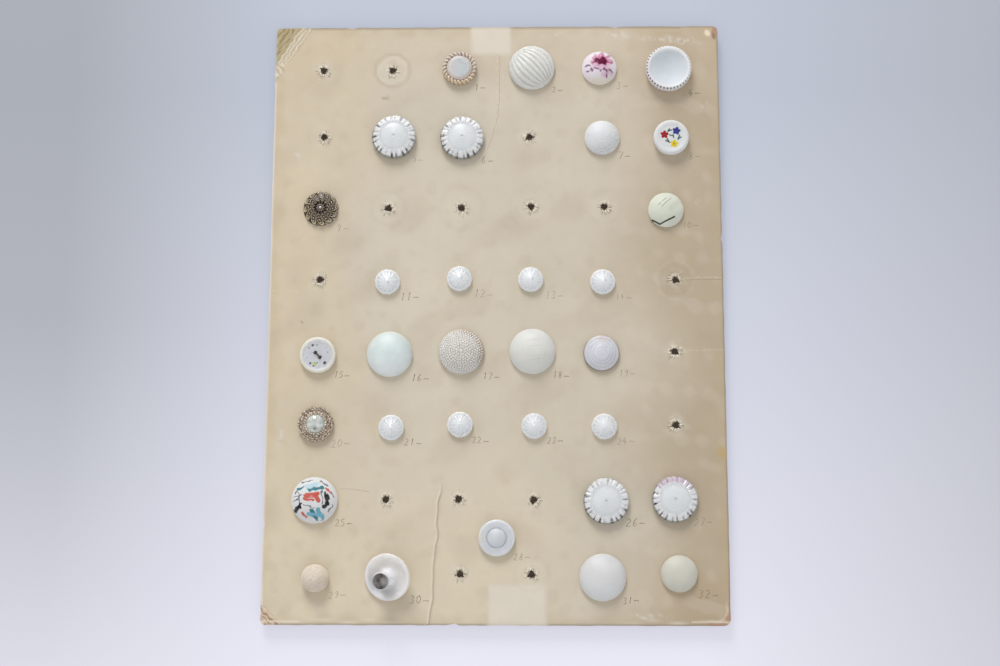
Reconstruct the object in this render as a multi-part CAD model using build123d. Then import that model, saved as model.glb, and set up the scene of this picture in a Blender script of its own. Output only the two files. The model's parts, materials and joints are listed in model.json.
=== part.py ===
"""Collector's card of old glass buttons, each held through its hole by a wire."""

from build123d import *
import os
from math import asin, atan2, cos, degrees, radians, sin, sqrt, tan

# Frame: X to the right and Y to the head of the card, Z up out of its front. The origin is under
# the middle of the card, at the height of the shank ends on which the whole card rests. Millimetres.

# The card
columns = 6
rows = 8
column_pitch = 35.6
row_pitch = 36.8
side_margin = 25.3
end_margin = 23.6
card_thickness = 1.6
corner_radius = 2.0
torn_corner_radius = 9.0
torn_ply = 0.5

# Shanks, the eyes in them and the pins through the eyes
shank_diameter = 3.2
slim_shank_diameter = 2.8
shank_clearance = 0.2
shank_reach = 3.2
eye_diameter = 1.4
pin_diameter = 0.9
pin_length = 12.0
pin_play = 0.03

# Button sizes that several buttons share
large_radius = 11.4
medium_radius = 8.9
small_radius = 6.45
back_bevel = 0.5
rim_height = 1.4
large_crown = 4.8
medium_crown = 3.4

# Gold rope border round a flat pale disc
rope_strands = 24
rope_width = 2.6
rope_height = 3.0
rope_lip_drop = 0.3
rope_notch = 0.9
cabochon_height = 3.6
cabochon_bevel = 0.5

# Melon ribs that run between two poles on the rim
melon_radius = 11.7
melon_crown = 5.4
melon_ribs = 9
melon_groove_depth = 0.7
melon_groove_width = 1.7
melon_groove_reach = 10.3
melon_groove_overrun = 3.0
melon_wedge_height = 2.0
melon_turn = -45.0

# Deep dish with a notched rim
dish_radius = 11.7
dish_height = 5.0
dish_depth = 3.2
dish_rim_width = 2.4
dish_rim_round = 0.8
dish_notches = 40
dish_notch_depth = 0.4

# Low cone inside a fluted rim, with a dimple at its apex
fluted_radius = 11.2
fluted_edge = 1.8
fluted_shoulder_radius = 7.4
fluted_shoulder_height = 4.1
fluted_cone_height = 5.2
flutes = 22
flute_depth = 1.1
flute_bar = 4.0
apex_dimple_radius = 0.5

# Flat button with a raised border
border_radius = 9.0
border_height = 4.2
border_width = 1.6
border_relief = 0.7

# Swirl of curved petals round a bead
swirl_radius = 8.95
swirl_petals = 12
swirl_crown = 2.6
swirl_bead_radius = 1.0
swirl_slot_width = 0.5
swirl_slot_depth = 0.8
swirl_slot_start = 1.6
swirl_bend_radius = 5.4
swirl_bend_angle = 22.5
swirl_sweep = 30.0
swirl_overrun = 1.0
swirl_notch = 1.1

# Small scalloped button with a low cone
daisy_scallops = 14
daisy_notch = 1.0
daisy_edge = 1.5
daisy_cone = 2.6
daisy_tip_radius = 0.5

# Cream dome with a facet pressed into its foot
crease_distance = 5.4
crease_height = 3.5
crease_slope = 52.0
crease_heading = -62.0

# Dome with a ring groove between its bead rows
beaded_groove_radius = 6.3
beaded_groove_width = 0.9
beaded_groove_depth = 0.5

# Stepped dome
terrace_count = 4
terrace_rise = 0.8
terrace_tread = 1.5

# Lace setting with a faceted glass in its collar
setting_height = 2.4
setting_scallops = 18
setting_notch = 0.8
collar_radius = 5.6
collar_height = 3.4
crystal_radius = 4.6
crystal_clearance = 0.1
crystal_seat_depth = 1.6
crystal_facets = 12
crystal_table_radius = 2.4
crystal_crown = 1.4

# Disc with a low dome inside a fine ring
eye_disc_height = 2.6
eye_ring_radius = 4.9
eye_ring_width = 0.5
eye_dome_rise = 1.8

# Little ball on a flat foot
ball_radius = 6.8
ball_foot_radius = 4.5
ball_waist_height = 2.8
ball_height = 7.4

# Sew-through button, held by a wire staple through its two holes
sewn_radius = 9.0
sewn_height = 3.0
sewn_rim_width = 2.2
sewn_recess = 1.0
sewn_hole_diameter = 1.8
sewn_hole_spacing = 3.4
sewn_turn = -45.0
staple_diameter = 0.8
staple_foot_spacing = 2.0
staple_span = 12.0

# Saucer round a post that ends in a mirror; its underside is a shallow cone, on which it leans
saucer_radius = 11.6
saucer_lean = 18.0
saucer_heading = 218.0
saucer_wall = 1.7
saucer_hollow_radius = 7.4
saucer_hollow_depth = 0.5
post_height = 14.5
post_foot_radius = 3.7
post_waist_radius = 3.0
post_head_radius = 4.3
post_head_height = 1.6
mirror_radius = 3.8
mirror_thickness = 0.7
mirror_clearance = 0.1

# Worked out from the sizes above
card_width = (columns - 1) * column_pitch + 2 * side_margin
card_length = (rows - 1) * row_pitch + 2 * end_margin
card_front = shank_reach + card_thickness
shank_length = card_thickness + shank_reach
hole_radius = shank_diameter / 2 + shank_clearance
leaning_run = card_thickness * tan(radians(saucer_lean))
leaning_hole_radius = slim_shank_diameter / 2 / cos(radians(saucer_lean)) + leaning_run + shank_clearance
pin_level = -card_thickness - pin_diameter / 2 - pin_play
eye_level = pin_level - (eye_diameter - pin_diameter) / 2 + pin_play

# Each shank button: column and row of its hole, how far the hole strays from the grid in X and Y,
# and the way its eye points. The order is the one on the card, from its head down.
places = {
    "rope_rim_cabochon_button": (2, 0, -1.2, 0.7, 10),
    "melon_ribbed_button": (3, 0, 0.5, 0.9, -35),
    "pink_floral_button": (4, 0, -0.4, 0.5, 20),
    "dished_corded_rim_button": (5, 0, -0.6, -0.4, 80),
    "fluted_moonglow_button_1": (1, 1, 1.2, 0.9, 5),
    "fluted_moonglow_button_2": (2, 1, 0.5, 0.3, -20),
    "fan_textured_button": (4, 1, 0.7, 0.3, 65),
    "flower_painted_button": (5, 1, 0.2, -0.1, 0),
    "bronze_swirl_button": (0, 2, 0.0, 0.3, 30),
    "creased_cream_button": (5, 2, -3.0, -0.9, -10),
    "daisy_button_1": (1, 3, -1.1, -1.0, 15),
    "daisy_button_2": (2, 3, -0.5, 0.6, -25),
    "daisy_button_3": (3, 3, -0.2, 0.1, 50),
    "daisy_button_4": (4, 3, 0.3, -1.1, 0),
    "frosted_dome_button": (1, 4, 0.5, -1.0, 40),
    "beaded_dome_button": (2, 4, 0.7, 0.1, -15),
    "woven_dome_button": (3, 4, 0.6, 0.4, 25),
    "terraced_button": (4, 4, -0.6, -0.6, 70),
    "filigree_button_setting": (0, 5, -0.1, 0.7, -30),
    "daisy_button_5": (1, 5, 1.8, -1.0, 60),
    "daisy_button_6": (2, 5, 0.3, 0.5, -5),
    "daisy_button_7": (3, 5, 1.4, -0.2, 35),
    "daisy_button_8": (4, 5, 0.5, -0.4, -50),
    "brushwork_button": (0, 6, 0.1, -0.1, 20),
    "fluted_moonglow_button_3": (4, 6, 1.1, -0.3, -40),
    "fluted_moonglow_button_4": (5, 6, -0.9, 0.6, 55),
    "raised_eye_button": (2.5, 6.5, 0.8, 0.1, 10),
    "knotted_ball_button": (0, 7, 1.4, -1.1, -20),
    "plain_white_button": (4, 7, -1.0, -0.4, 45),
    "plain_cream_button": (5, 7, 0.6, 1.4, -60),
}
sewn_place = (0, 4, 0.2, -1.5)
saucer_place = (1, 7, 2.3, 0.3)

# Holes that have lost their buttons: column and row, and how far each strays from the grid in X and Y
empty_places = [
    (0, 0, -0.1, 0.2),
    (1, 0, -0.2, 0.1),
    (0, 1, 0.9, 1.3),
    (3, 1, -0.8, 1.0),
    (1, 2, -1.3, 0.6),
    (2, 2, 0.2, 0.7),
    (3, 2, 0.1, 1.2),
    (4, 2, 1.6, 1.1),
    (0, 3, 0.3, 0.4),
    (5, 3, 1.3, 0.1),
    (5, 4, 0.4, 0.4),
    (5, 5, 0.2, 0.4),
    (1, 6, -0.4, 0.4),
    (2, 6, -0.2, 0.7),
    (3, 6, 1.2, 0.4),
    (2, 7, 0.8, 1.1),
    (3, 7, 0.1, 1.0),
]


def at_hole(place):
    """The spot on the card's front above the middle of one hole."""
    column, row, stray_x, stray_y = place[:4]
    x = (column - (columns - 1) / 2) * column_pitch + stray_x
    y = ((rows - 1) / 2 - row) * row_pitch + stray_y
    return Pos(x, y, card_front)


def around(shape, count, start=0.0):
    """Copies of a shape, evenly spaced round the Z axis."""
    return [Rot(0, 0, start + 360 * turn / count) * shape for turn in range(count)]


def turned(*runs):
    """Solid turned about the Z axis from a closed outline of lines and arcs in radius and height."""
    edges = [edge for run in runs for edge in run.edges()]
    return revolve(Plane.XZ * make_face(edges), Axis.Z)


def slab(radius, *face):
    """Turned button with a flat bevelled back, whose face runs through the points given, edge to axis."""
    return turned(Polyline((0, 0), (radius - back_bevel, 0), (radius, back_bevel), *face, (0, 0)))


def crown_arc(radius, low, high):
    """Arc from an edge at one height to the axis at another: a crown, or a bowl if the axis is lower."""
    rise = high - low
    sphere = (radius**2 + rise**2) / (2 * rise)
    half_sweep = asin(radius / sphere) / 2
    middle = (sphere * sin(half_sweep), high - sphere + sphere * cos(half_sweep))
    return ThreePointArc((radius, low), middle, (0, high))


def dome(radius, crown):
    """Plain round button: flat back, bevelled edge and a round crown."""
    top = rim_height + crown
    back = Polyline((0, top), (0, 0), (radius - back_bevel, 0), (radius, rim_height))
    return turned(back, crown_arc(radius, rim_height, top))


def large_dome():
    return dome(large_radius, large_crown)


def medium_dome():
    return dome(medium_radius, medium_crown)


def edge_notches(radius, count, notch, height):
    """Upright bars that cut a ring of round notches into an edge and leave scallops between them."""
    return around(Pos(radius + notch / 2, 0, 0) * Cylinder(notch, 3 * height), count)


def rope_rim_cabochon_button():
    """Flat pale disc held inside a border of rope strands."""
    inner = medium_radius - rope_width
    lip = rope_height - rope_lip_drop
    border = slab(
        medium_radius,
        (medium_radius, rim_height),
        (medium_radius - rope_width / 2, rope_height),
        (inner, lip),
        (inner, cabochon_height - cabochon_bevel),
        (inner - cabochon_bevel, cabochon_height),
        (0, cabochon_height),
    )
    return border - edge_notches(medium_radius, rope_strands, rope_notch, rope_height)


def melon_groove(angle):
    """Curved wedge that cuts one groove of the melon, in a plane through both poles on the rim."""
    sphere = (melon_radius**2 + melon_crown**2) / (2 * melon_crown)
    sphere_drop = sphere - melon_crown
    across = cos(radians(angle))
    up = sin(radians(angle))
    # The plane meets the crown in a circle. The groove is a flatter arc, deepest half way between
    # the poles, and it runs out of the crown at its reach towards each pole.
    circle = sqrt(sphere**2 - (sphere_drop * across) ** 2)
    deepest = circle - sphere_drop * up - melon_groove_depth
    runout = sqrt(circle**2 - melon_groove_reach**2) - sphere_drop * up
    rise = deepest - runout
    bend = (melon_groove_reach**2 + rise**2) / (2 * rise)
    sweep_angle = degrees(asin(melon_groove_reach / bend)) + melon_groove_overrun
    width = melon_groove_width
    top = deepest + melon_wedge_height
    wedge = Polyline((deepest, 0), (top, width), (top, -width), (deepest, 0))
    plane = Plane(origin=(0, 0, rim_height), x_dir=(0, across, up), z_dir=(1, 0, 0))
    pivot = plane.from_local_coords((deepest - bend, 0, 0))
    turn_axis = Axis(pivot, plane.y_dir)
    section = (plane * make_face(wedge.edges())).rotate(turn_axis, -sweep_angle)
    return revolve(section, turn_axis, 2 * sweep_angle)


def melon_ribbed_button():
    """Round crown cut by grooves that all run from pole to pole, like the ribs of a melon."""
    grooves = [melon_groove(180 * groove / melon_ribs) for groove in range(1, melon_ribs)]
    return Rot(0, 0, melon_turn) * (dome(melon_radius, melon_crown) - grooves)


def dished_corded_rim_button():
    """Deep dish with a thick rim, notched all round its outer edge."""
    inner = dish_radius - dish_rim_width
    floor = dish_height - dish_depth
    shoulder = dish_height - dish_rim_round
    rim = Polyline(
        (0, floor),
        (0, 0),
        (dish_radius - back_bevel, 0),
        (dish_radius, back_bevel),
        (dish_radius, shoulder),
        (dish_radius - dish_rim_round, dish_height),
        (inner + dish_rim_round, dish_height),
        (inner, shoulder),
    )
    bowl = crown_arc(inner, shoulder, floor)
    notch = Pos(dish_radius, 0, 0) * Rot(0, 0, 45) * Box(dish_notch_depth, dish_notch_depth, 3 * dish_height)
    return turned(rim, bowl) - around(notch, dish_notches)


def fluted_moonglow_button():
    """Low pearly cone inside a rim of round flutes, with a dimple at its apex."""
    body = slab(
        fluted_radius,
        (fluted_radius, fluted_edge),
        (fluted_shoulder_radius, fluted_shoulder_height),
        (apex_dimple_radius, fluted_cone_height),
        (0, fluted_cone_height - apex_dimple_radius),
    )
    run = fluted_radius - fluted_shoulder_radius
    fall = fluted_shoulder_height - fluted_edge + flute_depth
    bar = Pos(run / 2, 0, flute_bar / sqrt(2)) * Rot(45, 0, 0) * Box(2 * run, flute_bar, flute_bar)
    slope = degrees(atan2(fall, run))
    sloped = Pos(fluted_shoulder_radius, 0, fluted_shoulder_height) * Rot(0, slope, 0) * bar
    return body - around(sloped, flutes)


def flower_painted_button():
    """Flat face inside a raised border."""
    inner = border_radius - border_width
    field = border_height - border_relief
    return slab(
        border_radius,
        (border_radius, field),
        (border_radius - border_relief, border_height),
        (inner, border_height),
        (inner - border_relief, field),
        (0, field),
    )


def bronze_swirl_button():
    """Curved petals round a bead, parted by slots of even depth in a low crown."""
    slot_arc = ThreePointArc(
        (swirl_slot_start, 0),
        Vector(swirl_bend_radius, 0).rotate(Axis.Z, swirl_bend_angle),
        Vector(swirl_radius + swirl_overrun, 0).rotate(Axis.Z, swirl_sweep),
    )
    slot = extrude(trace(slot_arc, swirl_slot_width), 3 * swirl_crown)
    core = dome(swirl_radius + 2 * swirl_overrun, swirl_crown - swirl_slot_depth)
    slots = Compound(around(slot, swirl_petals)) - core
    bead = Pos(0, 0, rim_height + swirl_crown) * Sphere(swirl_bead_radius)
    notches = edge_notches(swirl_radius, swirl_petals, swirl_notch, swirl_crown)
    edge = [Rot(0, 0, swirl_sweep) * notch for notch in notches]
    return dome(swirl_radius, swirl_crown) - slots - edge + bead


def creased_cream_button():
    """Cream dome with one flat facet pressed in beside its foot."""
    size = 4 * medium_radius
    facet = Rot(0, crease_slope, 0) * Pos(size / 2, 0, 0) * Box(size, size, size)
    return medium_dome() - Rot(0, 0, crease_heading) * Pos(crease_distance, 0, crease_height) * facet


def daisy_button():
    """Small low cone with a scalloped edge."""
    cone = slab(
        small_radius,
        (small_radius, daisy_edge),
        (daisy_tip_radius, daisy_edge + daisy_cone),
        (0, daisy_edge + daisy_cone),
    )
    return cone - edge_notches(small_radius, daisy_scallops, daisy_notch, daisy_cone)


def beaded_dome_button():
    """Large dome with a ring groove between two bands of beads."""
    groove = Polyline(
        (beaded_groove_radius - beaded_groove_width / 2, 2 * large_crown),
        (beaded_groove_radius, 0),
        (beaded_groove_radius + beaded_groove_width / 2, 2 * large_crown),
        (beaded_groove_radius - beaded_groove_width / 2, 2 * large_crown),
    )
    core = dome(large_radius, large_crown - beaded_groove_depth)
    return large_dome() - (turned(groove) - core)


def terraced_button():
    """Dome built of round steps, each one smaller than the one below."""
    steps = []
    for step in range(terrace_count):
        radius = medium_radius - step * terrace_tread
        level = rim_height + step * terrace_rise
        steps += [(radius, level), (radius - terrace_rise / 2, level + terrace_rise)]
    return slab(medium_radius, *steps, (0, rim_height + terrace_count * terrace_rise))


def filigree_button_setting():
    """Scalloped metal setting with a collar, hollowed to seat the faceted glass."""
    seat_radius = crystal_radius + crystal_clearance
    seat_floor = collar_height - crystal_seat_depth
    body = slab(
        medium_radius,
        (medium_radius, setting_height - back_bevel),
        (medium_radius - back_bevel, setting_height),
        (collar_radius, setting_height),
        (collar_radius, collar_height),
        (seat_radius, collar_height),
        (seat_radius, seat_floor),
        (0, seat_floor),
    )
    return body - edge_notches(medium_radius, setting_scallops, setting_notch, setting_height)


def filigree_button_crystal():
    """Faceted glass that stands on the floor of the setting's collar, with a flat table on top."""
    girdle = RegularPolygon(crystal_radius, crystal_facets)
    table = RegularPolygon(crystal_table_radius, crystal_facets, rotation=180 / crystal_facets)
    seat_floor = collar_height - crystal_seat_depth
    prism = extrude(Pos(0, 0, seat_floor) * girdle, crystal_seat_depth)
    table_level = collar_height + crystal_crown
    crown = loft([Pos(0, 0, collar_height) * girdle, Pos(0, 0, table_level) * table], ruled=True)
    return prism + crown


def raised_eye_button():
    """Flat disc with a fine ring groove round a low dome."""
    ring_inner = eye_ring_radius - eye_ring_width
    outline = Polyline(
        (0, eye_disc_height + eye_dome_rise),
        (0, 0),
        (medium_radius - back_bevel, 0),
        (medium_radius, back_bevel),
        (medium_radius, eye_disc_height - back_bevel),
        (medium_radius - back_bevel, eye_disc_height),
        (eye_ring_radius, eye_disc_height),
        (eye_ring_radius - eye_ring_width / 2, eye_disc_height - eye_ring_width),
        (ring_inner, eye_disc_height),
    )
    return turned(outline, crown_arc(ring_inner, eye_disc_height, eye_disc_height + eye_dome_rise))


def knotted_ball_button():
    """Little ball, flat where it stands on the card."""
    foot = Polyline((0, ball_height), (0, 0), (ball_foot_radius, 0), (ball_radius, ball_waist_height))
    return turned(foot, crown_arc(ball_radius, ball_waist_height, ball_height))


def two_hole_button():
    """Sew-through button with a recessed middle and two holes."""
    inner = sewn_radius - sewn_rim_width
    floor = sewn_height - sewn_recess
    body = slab(
        sewn_radius,
        (sewn_radius, sewn_height - back_bevel),
        (sewn_radius - back_bevel, sewn_height),
        (inner + back_bevel, sewn_height),
        (inner, floor),
        (0, floor),
    )
    hole = Pos(sewn_hole_spacing / 2, 0, 0) * Cylinder(sewn_hole_diameter / 2, 3 * sewn_height)
    return Rot(0, 0, sewn_turn) * (body - around(hole, 2))


def two_hole_button_wire():
    """Wire staple over the bridge between the two holes, its feet spread behind the card."""
    bridge = sewn_height - sewn_recess + staple_diameter / 2 + pin_play
    foot = -card_thickness - staple_diameter / 2 - pin_play
    route = Polyline(
        (-staple_span / 2, 0, foot),
        (-staple_foot_spacing / 2, 0, foot),
        (-sewn_hole_spacing / 2, 0, bridge),
        (sewn_hole_spacing / 2, 0, bridge),
        (staple_foot_spacing / 2, 0, foot),
        (staple_span / 2, 0, foot),
    )
    section = Plane(route @ 0, z_dir=route % 0) * Circle(staple_diameter / 2)
    return Rot(0, 0, sewn_turn) * sweep(section, route, transition=Transition.RIGHT)


def mirror_post_button():
    """Saucer round a post with a mirror's seat in its head; the underside rises at the angle of its lean."""
    rise = tan(radians(saucer_lean))
    edge_low = saucer_radius * rise
    foot_level = post_foot_radius * rise + saucer_wall
    hollow_level = saucer_hollow_radius * rise + saucer_wall - saucer_hollow_depth
    seat_radius = mirror_radius + mirror_clearance
    seat_floor = post_height - mirror_thickness / 2
    head_low = post_height - post_head_height
    return turned(
        Polyline(
            (0, 0),
            (saucer_radius, edge_low),
            (saucer_radius, edge_low + saucer_wall / 2),
            (saucer_radius - saucer_wall / 2, edge_low + saucer_wall),
            (saucer_hollow_radius, hollow_level),
            (post_foot_radius, foot_level),
            (post_waist_radius, (foot_level + head_low) / 2),
            (post_head_radius, head_low),
            (post_head_radius, post_height),
            (seat_radius, post_height),
            (seat_radius, seat_floor),
            (0, seat_floor),
            (0, 0),
        )
    )


def post_mirror():
    """Round mirror that stands half out of its seat in the post's head."""
    seat_floor = post_height - mirror_thickness / 2
    standing = (Align.CENTER, Align.CENTER, Align.MIN)
    return Pos(0, 0, seat_floor) * Cylinder(mirror_radius, mirror_thickness, align=standing)


def shank(diameter):
    """Round shank below a button, rooted in its body, with an eye for the pin."""
    radius = diameter / 2
    outline = Polyline(
        (0, back_bevel),
        (radius, back_bevel),
        (radius, -shank_length),
        (0, -shank_length),
        (0, back_bevel),
    )
    return turned(outline) - Pos(0, 0, eye_level) * Rot(0, 90, 0) * Cylinder(eye_diameter / 2, 2 * diameter)


def keeper_pin():
    """Straight pin through a shank's eye, just behind the card."""
    return Rot(0, 90, 0) * Cylinder(pin_diameter / 2, pin_length)


def mounting_card():
    """Stiff card with every hole of the grid, and one corner that has lost its top ply."""
    board = RectangleRounded(card_width, card_length, corner_radius)
    sheet = extrude(Pos(0, 0, shank_reach) * board, card_thickness)
    upright_places = list(places.values()) + empty_places + [sewn_place]
    holes = [at_hole(place) * Cylinder(hole_radius, 3 * card_thickness) for place in upright_places]
    leaning_hole = at_hole(saucer_place) * Cylinder(leaning_hole_radius, 3 * card_thickness)
    corner_spot = Pos(card_width / 2, -card_length / 2, card_front)
    torn_corner = corner_spot * Cylinder(torn_corner_radius, 2 * torn_ply)
    return sheet - holes - leaning_hole - torn_corner


forms = {
    "rope_rim_cabochon_button": rope_rim_cabochon_button,
    "melon_ribbed_button": melon_ribbed_button,
    "pink_floral_button": medium_dome,
    "dished_corded_rim_button": dished_corded_rim_button,
    "fluted_moonglow_button": fluted_moonglow_button,
    "fan_textured_button": medium_dome,
    "flower_painted_button": flower_painted_button,
    "bronze_swirl_button": bronze_swirl_button,
    "creased_cream_button": creased_cream_button,
    "daisy_button": daisy_button,
    "frosted_dome_button": large_dome,
    "beaded_dome_button": beaded_dome_button,
    "woven_dome_button": large_dome,
    "terraced_button": terraced_button,
    "filigree_button_setting": filigree_button_setting,
    "brushwork_button": large_dome,
    "raised_eye_button": raised_eye_button,
    "knotted_ball_button": knotted_ball_button,
    "plain_white_button": large_dome,
    "plain_cream_button": medium_dome,
}


def pieces():
    """Every piece of the card of buttons, by name."""
    found = {"mounting_card": mounting_card()}
    pins = []
    for name, place in places.items():
        form = forms[name.rstrip("_12345678")]
        turn = Rot(0, 0, place[4])
        found[name] = at_hole(place) * (form() + turn * shank(shank_diameter))
        pins.append(at_hole(place) * turn * Pos(0, 0, pin_level) * keeper_pin())
    setting_spot = at_hole(places["filigree_button_setting"])
    found["filigree_button_crystal"] = setting_spot * filigree_button_crystal()
    found["two_hole_button"] = at_hole(sewn_place) * two_hole_button()
    found["two_hole_button_wire"] = at_hole(sewn_place) * two_hole_button_wire()

    # The saucer tips over on its own point, so the eye of its shank swings back and up a little
    heading = at_hole(saucer_place) * Rot(0, 0, saucer_heading)
    leaning = heading * Rot(0, saucer_lean, 0)
    saucer = mirror_post_button() + Rot(0, 0, 90) * shank(slim_shank_diameter)
    found["mirror_post_button"] = leaning * saucer
    found["post_mirror"] = leaning * post_mirror()
    leaning_eye = Vector(0, 0, eye_level).rotate(Axis.Y, saucer_lean)
    leaning_pin_level = min(pin_level, leaning_eye.Z + pin_play)
    pins.append(heading * Pos(leaning_eye.X, 0, leaning_pin_level) * Rot(0, 0, 90) * keeper_pin())
    found["keeper_pins"] = Compound(pins)
    return found


os.makedirs("parts", exist_ok=True)
for name, piece in pieces().items():
    export_step(piece, f"parts/{name}.step")
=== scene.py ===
"""Looks of the card of old glass buttons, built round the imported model."""
import json
import math
import random

import bpy
import numpy as np
from mathutils import Matrix, Vector
from mathutils.geometry import delaunay_2d_cdt


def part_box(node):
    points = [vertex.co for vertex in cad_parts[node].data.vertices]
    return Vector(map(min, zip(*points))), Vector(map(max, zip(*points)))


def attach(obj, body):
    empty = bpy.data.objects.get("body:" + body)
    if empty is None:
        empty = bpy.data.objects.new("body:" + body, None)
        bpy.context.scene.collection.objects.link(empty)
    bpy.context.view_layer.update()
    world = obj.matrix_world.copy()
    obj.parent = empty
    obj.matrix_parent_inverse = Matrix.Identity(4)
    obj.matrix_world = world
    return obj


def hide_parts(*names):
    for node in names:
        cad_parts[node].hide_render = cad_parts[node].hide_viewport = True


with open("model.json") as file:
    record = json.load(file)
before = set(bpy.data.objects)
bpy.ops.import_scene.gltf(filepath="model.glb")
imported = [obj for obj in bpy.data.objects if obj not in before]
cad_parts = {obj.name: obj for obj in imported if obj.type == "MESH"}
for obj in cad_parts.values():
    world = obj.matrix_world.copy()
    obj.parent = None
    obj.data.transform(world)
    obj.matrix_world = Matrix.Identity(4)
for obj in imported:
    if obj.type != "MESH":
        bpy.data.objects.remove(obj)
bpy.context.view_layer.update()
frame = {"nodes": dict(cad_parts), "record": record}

# Everything below is worked out in millimetres and turned into metres when a mesh is made
MM = 0.001
TURN = 2 * math.pi
BLACK = (0.02, 0.02, 0.02)

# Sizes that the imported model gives
card_low, card_high = (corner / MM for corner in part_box("mounting_card"))
card_back = card_low.z
card_front = card_high.z
half_width = card_high.x
half_length = card_high.y
pin_level = (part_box("keeper_pins")[0].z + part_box("keeper_pins")[1].z) / 2 / MM

# Sizes chosen here
shank_radius = 1.6
slim_shank_radius = 1.4
eye_radius = 0.7
eye_drop = 0.19
back_bevel = 0.5
edge_height = 1.4
empty_hole_radius = 1.75
used_hole_radius = 1.8
leaning_hole_radius = 2.2
saucer_lean = math.radians(18)
saucer_heading = math.radians(218)
post_height = 14.5


def node_middle(name):
    """The middle of a node in X and Y."""
    low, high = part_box(name)
    return (low.x + high.x) / 2 / MM, (low.y + high.y) / 2 / MM


def node_radius(name):
    """Half of a round node's width."""
    low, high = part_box(name)
    return (high.x - low.x) / 2 / MM


def pin_points():
    """All the points of the pins behind the card."""
    mesh = frame["nodes"]["keeper_pins"].data
    return np.array([vertex.co / MM for vertex in mesh.vertices])


PINS = pin_points()


def pin_near(x, y):
    """Middle and heading of the pin that lies near a point."""
    search_reach = 10
    near = PINS[np.hypot(PINS[:, 0] - x, PINS[:, 1] - y) < search_reach]
    middle = (near.min(0) + near.max(0)) / 2
    reach = near[:, :2] - middle[:2]
    far = reach[np.argmax(np.hypot(reach[:, 0], reach[:, 1]))]
    return middle[0], middle[1], math.atan2(far[1], far[0])


# Small mathematical helpers for heights and colours


def smooth(low, high, value):
    """0 below low, 1 above high, and a smooth step between them. It falls instead if high is the lower."""
    share = np.clip((value - low) / (high - low), 0, 1)
    return share * share * (3 - 2 * share)


def crown(r, radius, low, rise):
    """Height of a round crown of the given rise over an edge at the height low."""
    sphere = (radius**2 + rise**2) / (2 * rise)
    return low + rise - sphere + np.sqrt(np.maximum(sphere**2 - r**2, 0))


def dome(x, y, radius, rise):
    """Height of a round crown over the usual edge of a button."""
    return crown(np.hypot(x, y), radius, edge_height, rise)


def ridge(value, width):
    """1 where the value is 0, falling to almost 0 two widths to either side."""
    return np.exp(-((value / width) ** 2))


def bulge(value, width):
    """1 where the value is 0, falling in a curve to 0 one width to either side."""
    return np.clip(1 - (value / width) ** 2, 0, 1)


def turned(x, y, heading):
    """How far a point lies along a heading and across it."""
    c, s = math.cos(heading), math.sin(heading)
    return x * c + y * s, y * c - x * s


def polar(x, y):
    """Distance from the middle and angle."""
    return np.hypot(x, y), np.arctan2(y, x)


def at_angle(x, y, radius, angle):
    """The point at a distance from another, on a heading."""
    return x + radius * math.cos(angle), y + radius * math.sin(angle)


def uneven(x, y, size, seed, waves=9):
    """Smooth uneven field, mostly between -1 and 1, from crossed waves about as long as size."""
    draw = random.Random(seed)
    total = np.zeros_like(np.asarray(x, float) + np.asarray(y, float))
    for _ in range(waves):
        heading = draw.uniform(0, TURN)
        pace = TURN / (size * draw.uniform(0.6, 1.7))
        phase = draw.uniform(0, TURN)
        along = x * math.cos(heading) + y * math.sin(heading)
        total = total + np.sin(pace * along + phase)
    return total / math.sqrt(waves)


def blob(x, y, spot, radii, turn=0.0, soft=0.5):
    """1 inside an oval at spot, 0 outside, with a soft edge that is a share of its size."""
    along, across = turned(x - spot[0], y - spot[1], turn)
    return smooth(1.0, 1.0 - soft, np.hypot(along / radii[0], across / radii[1]))


def stripe(x, y, start, end, width, soft=0.5):
    """1 on a straight stroke between two points, 0 off it, with an edge as soft as a blob's."""
    ax, ay = start
    bx, by = end
    span = max((bx - ax) ** 2 + (by - ay) ** 2, 1e-9)
    share = np.clip(((x - ax) * (bx - ax) + (y - ay) * (by - ay)) / span, 0, 1)
    away = np.hypot(x - ax - share * (bx - ax), y - ay - share * (by - ay))
    return smooth(width / 2, width / 2 * (1 - soft), away)


class Paint:
    """Colour and lustre of many points, laid on one layer over another."""

    def __init__(self, colour, like):
        self.values = np.zeros(like.shape + (4,)) + np.array([*colour, 0.0])

    def lay(self, mask, colour, lustre=0.0):
        """Lays a colour over the rest where the mask is 1."""
        mask = np.clip(mask, 0, 1)[..., None]
        self.values = self.values * (1 - mask) + np.array([*colour, lustre]) * mask
        return self


# Meshes


def add_object(name, data):
    """New object in the scene."""
    made = bpy.data.objects.new(name, data)
    bpy.context.scene.collection.objects.link(made)
    return made


def add_mesh(name, points, faces, material, paint=None, crease=35):
    """Object from points in millimetres, with its colours kept at the points."""
    mesh = bpy.data.meshes.new(name)
    mesh.from_pydata((np.asarray(points) * MM).tolist(), [], faces)
    if paint is not None:
        layer = mesh.color_attributes.new("paint", "FLOAT_COLOR", "POINT")
        layer.data.foreach_set("color", np.ascontiguousarray(paint, np.float32).ravel())
    mesh.shade_smooth()
    mesh.set_sharp_from_angle(angle=math.radians(crease))
    mesh.materials.append(material)
    return add_object(name, mesh)


def ring_faces(rings, spokes, centre, first):
    """Faces of a centre point and the rings round it, numbered from first."""
    faces = [(centre, first + s, first + (s + 1) % spokes) for s in range(spokes)]
    for ring in range(rings - 1):
        inner = first + ring * spokes
        outer = inner + spokes
        for s in range(spokes):
            n = (s + 1) % spokes
            faces.append((inner + s, outer + s, outer + n, inner + n))
    return faces


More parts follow.
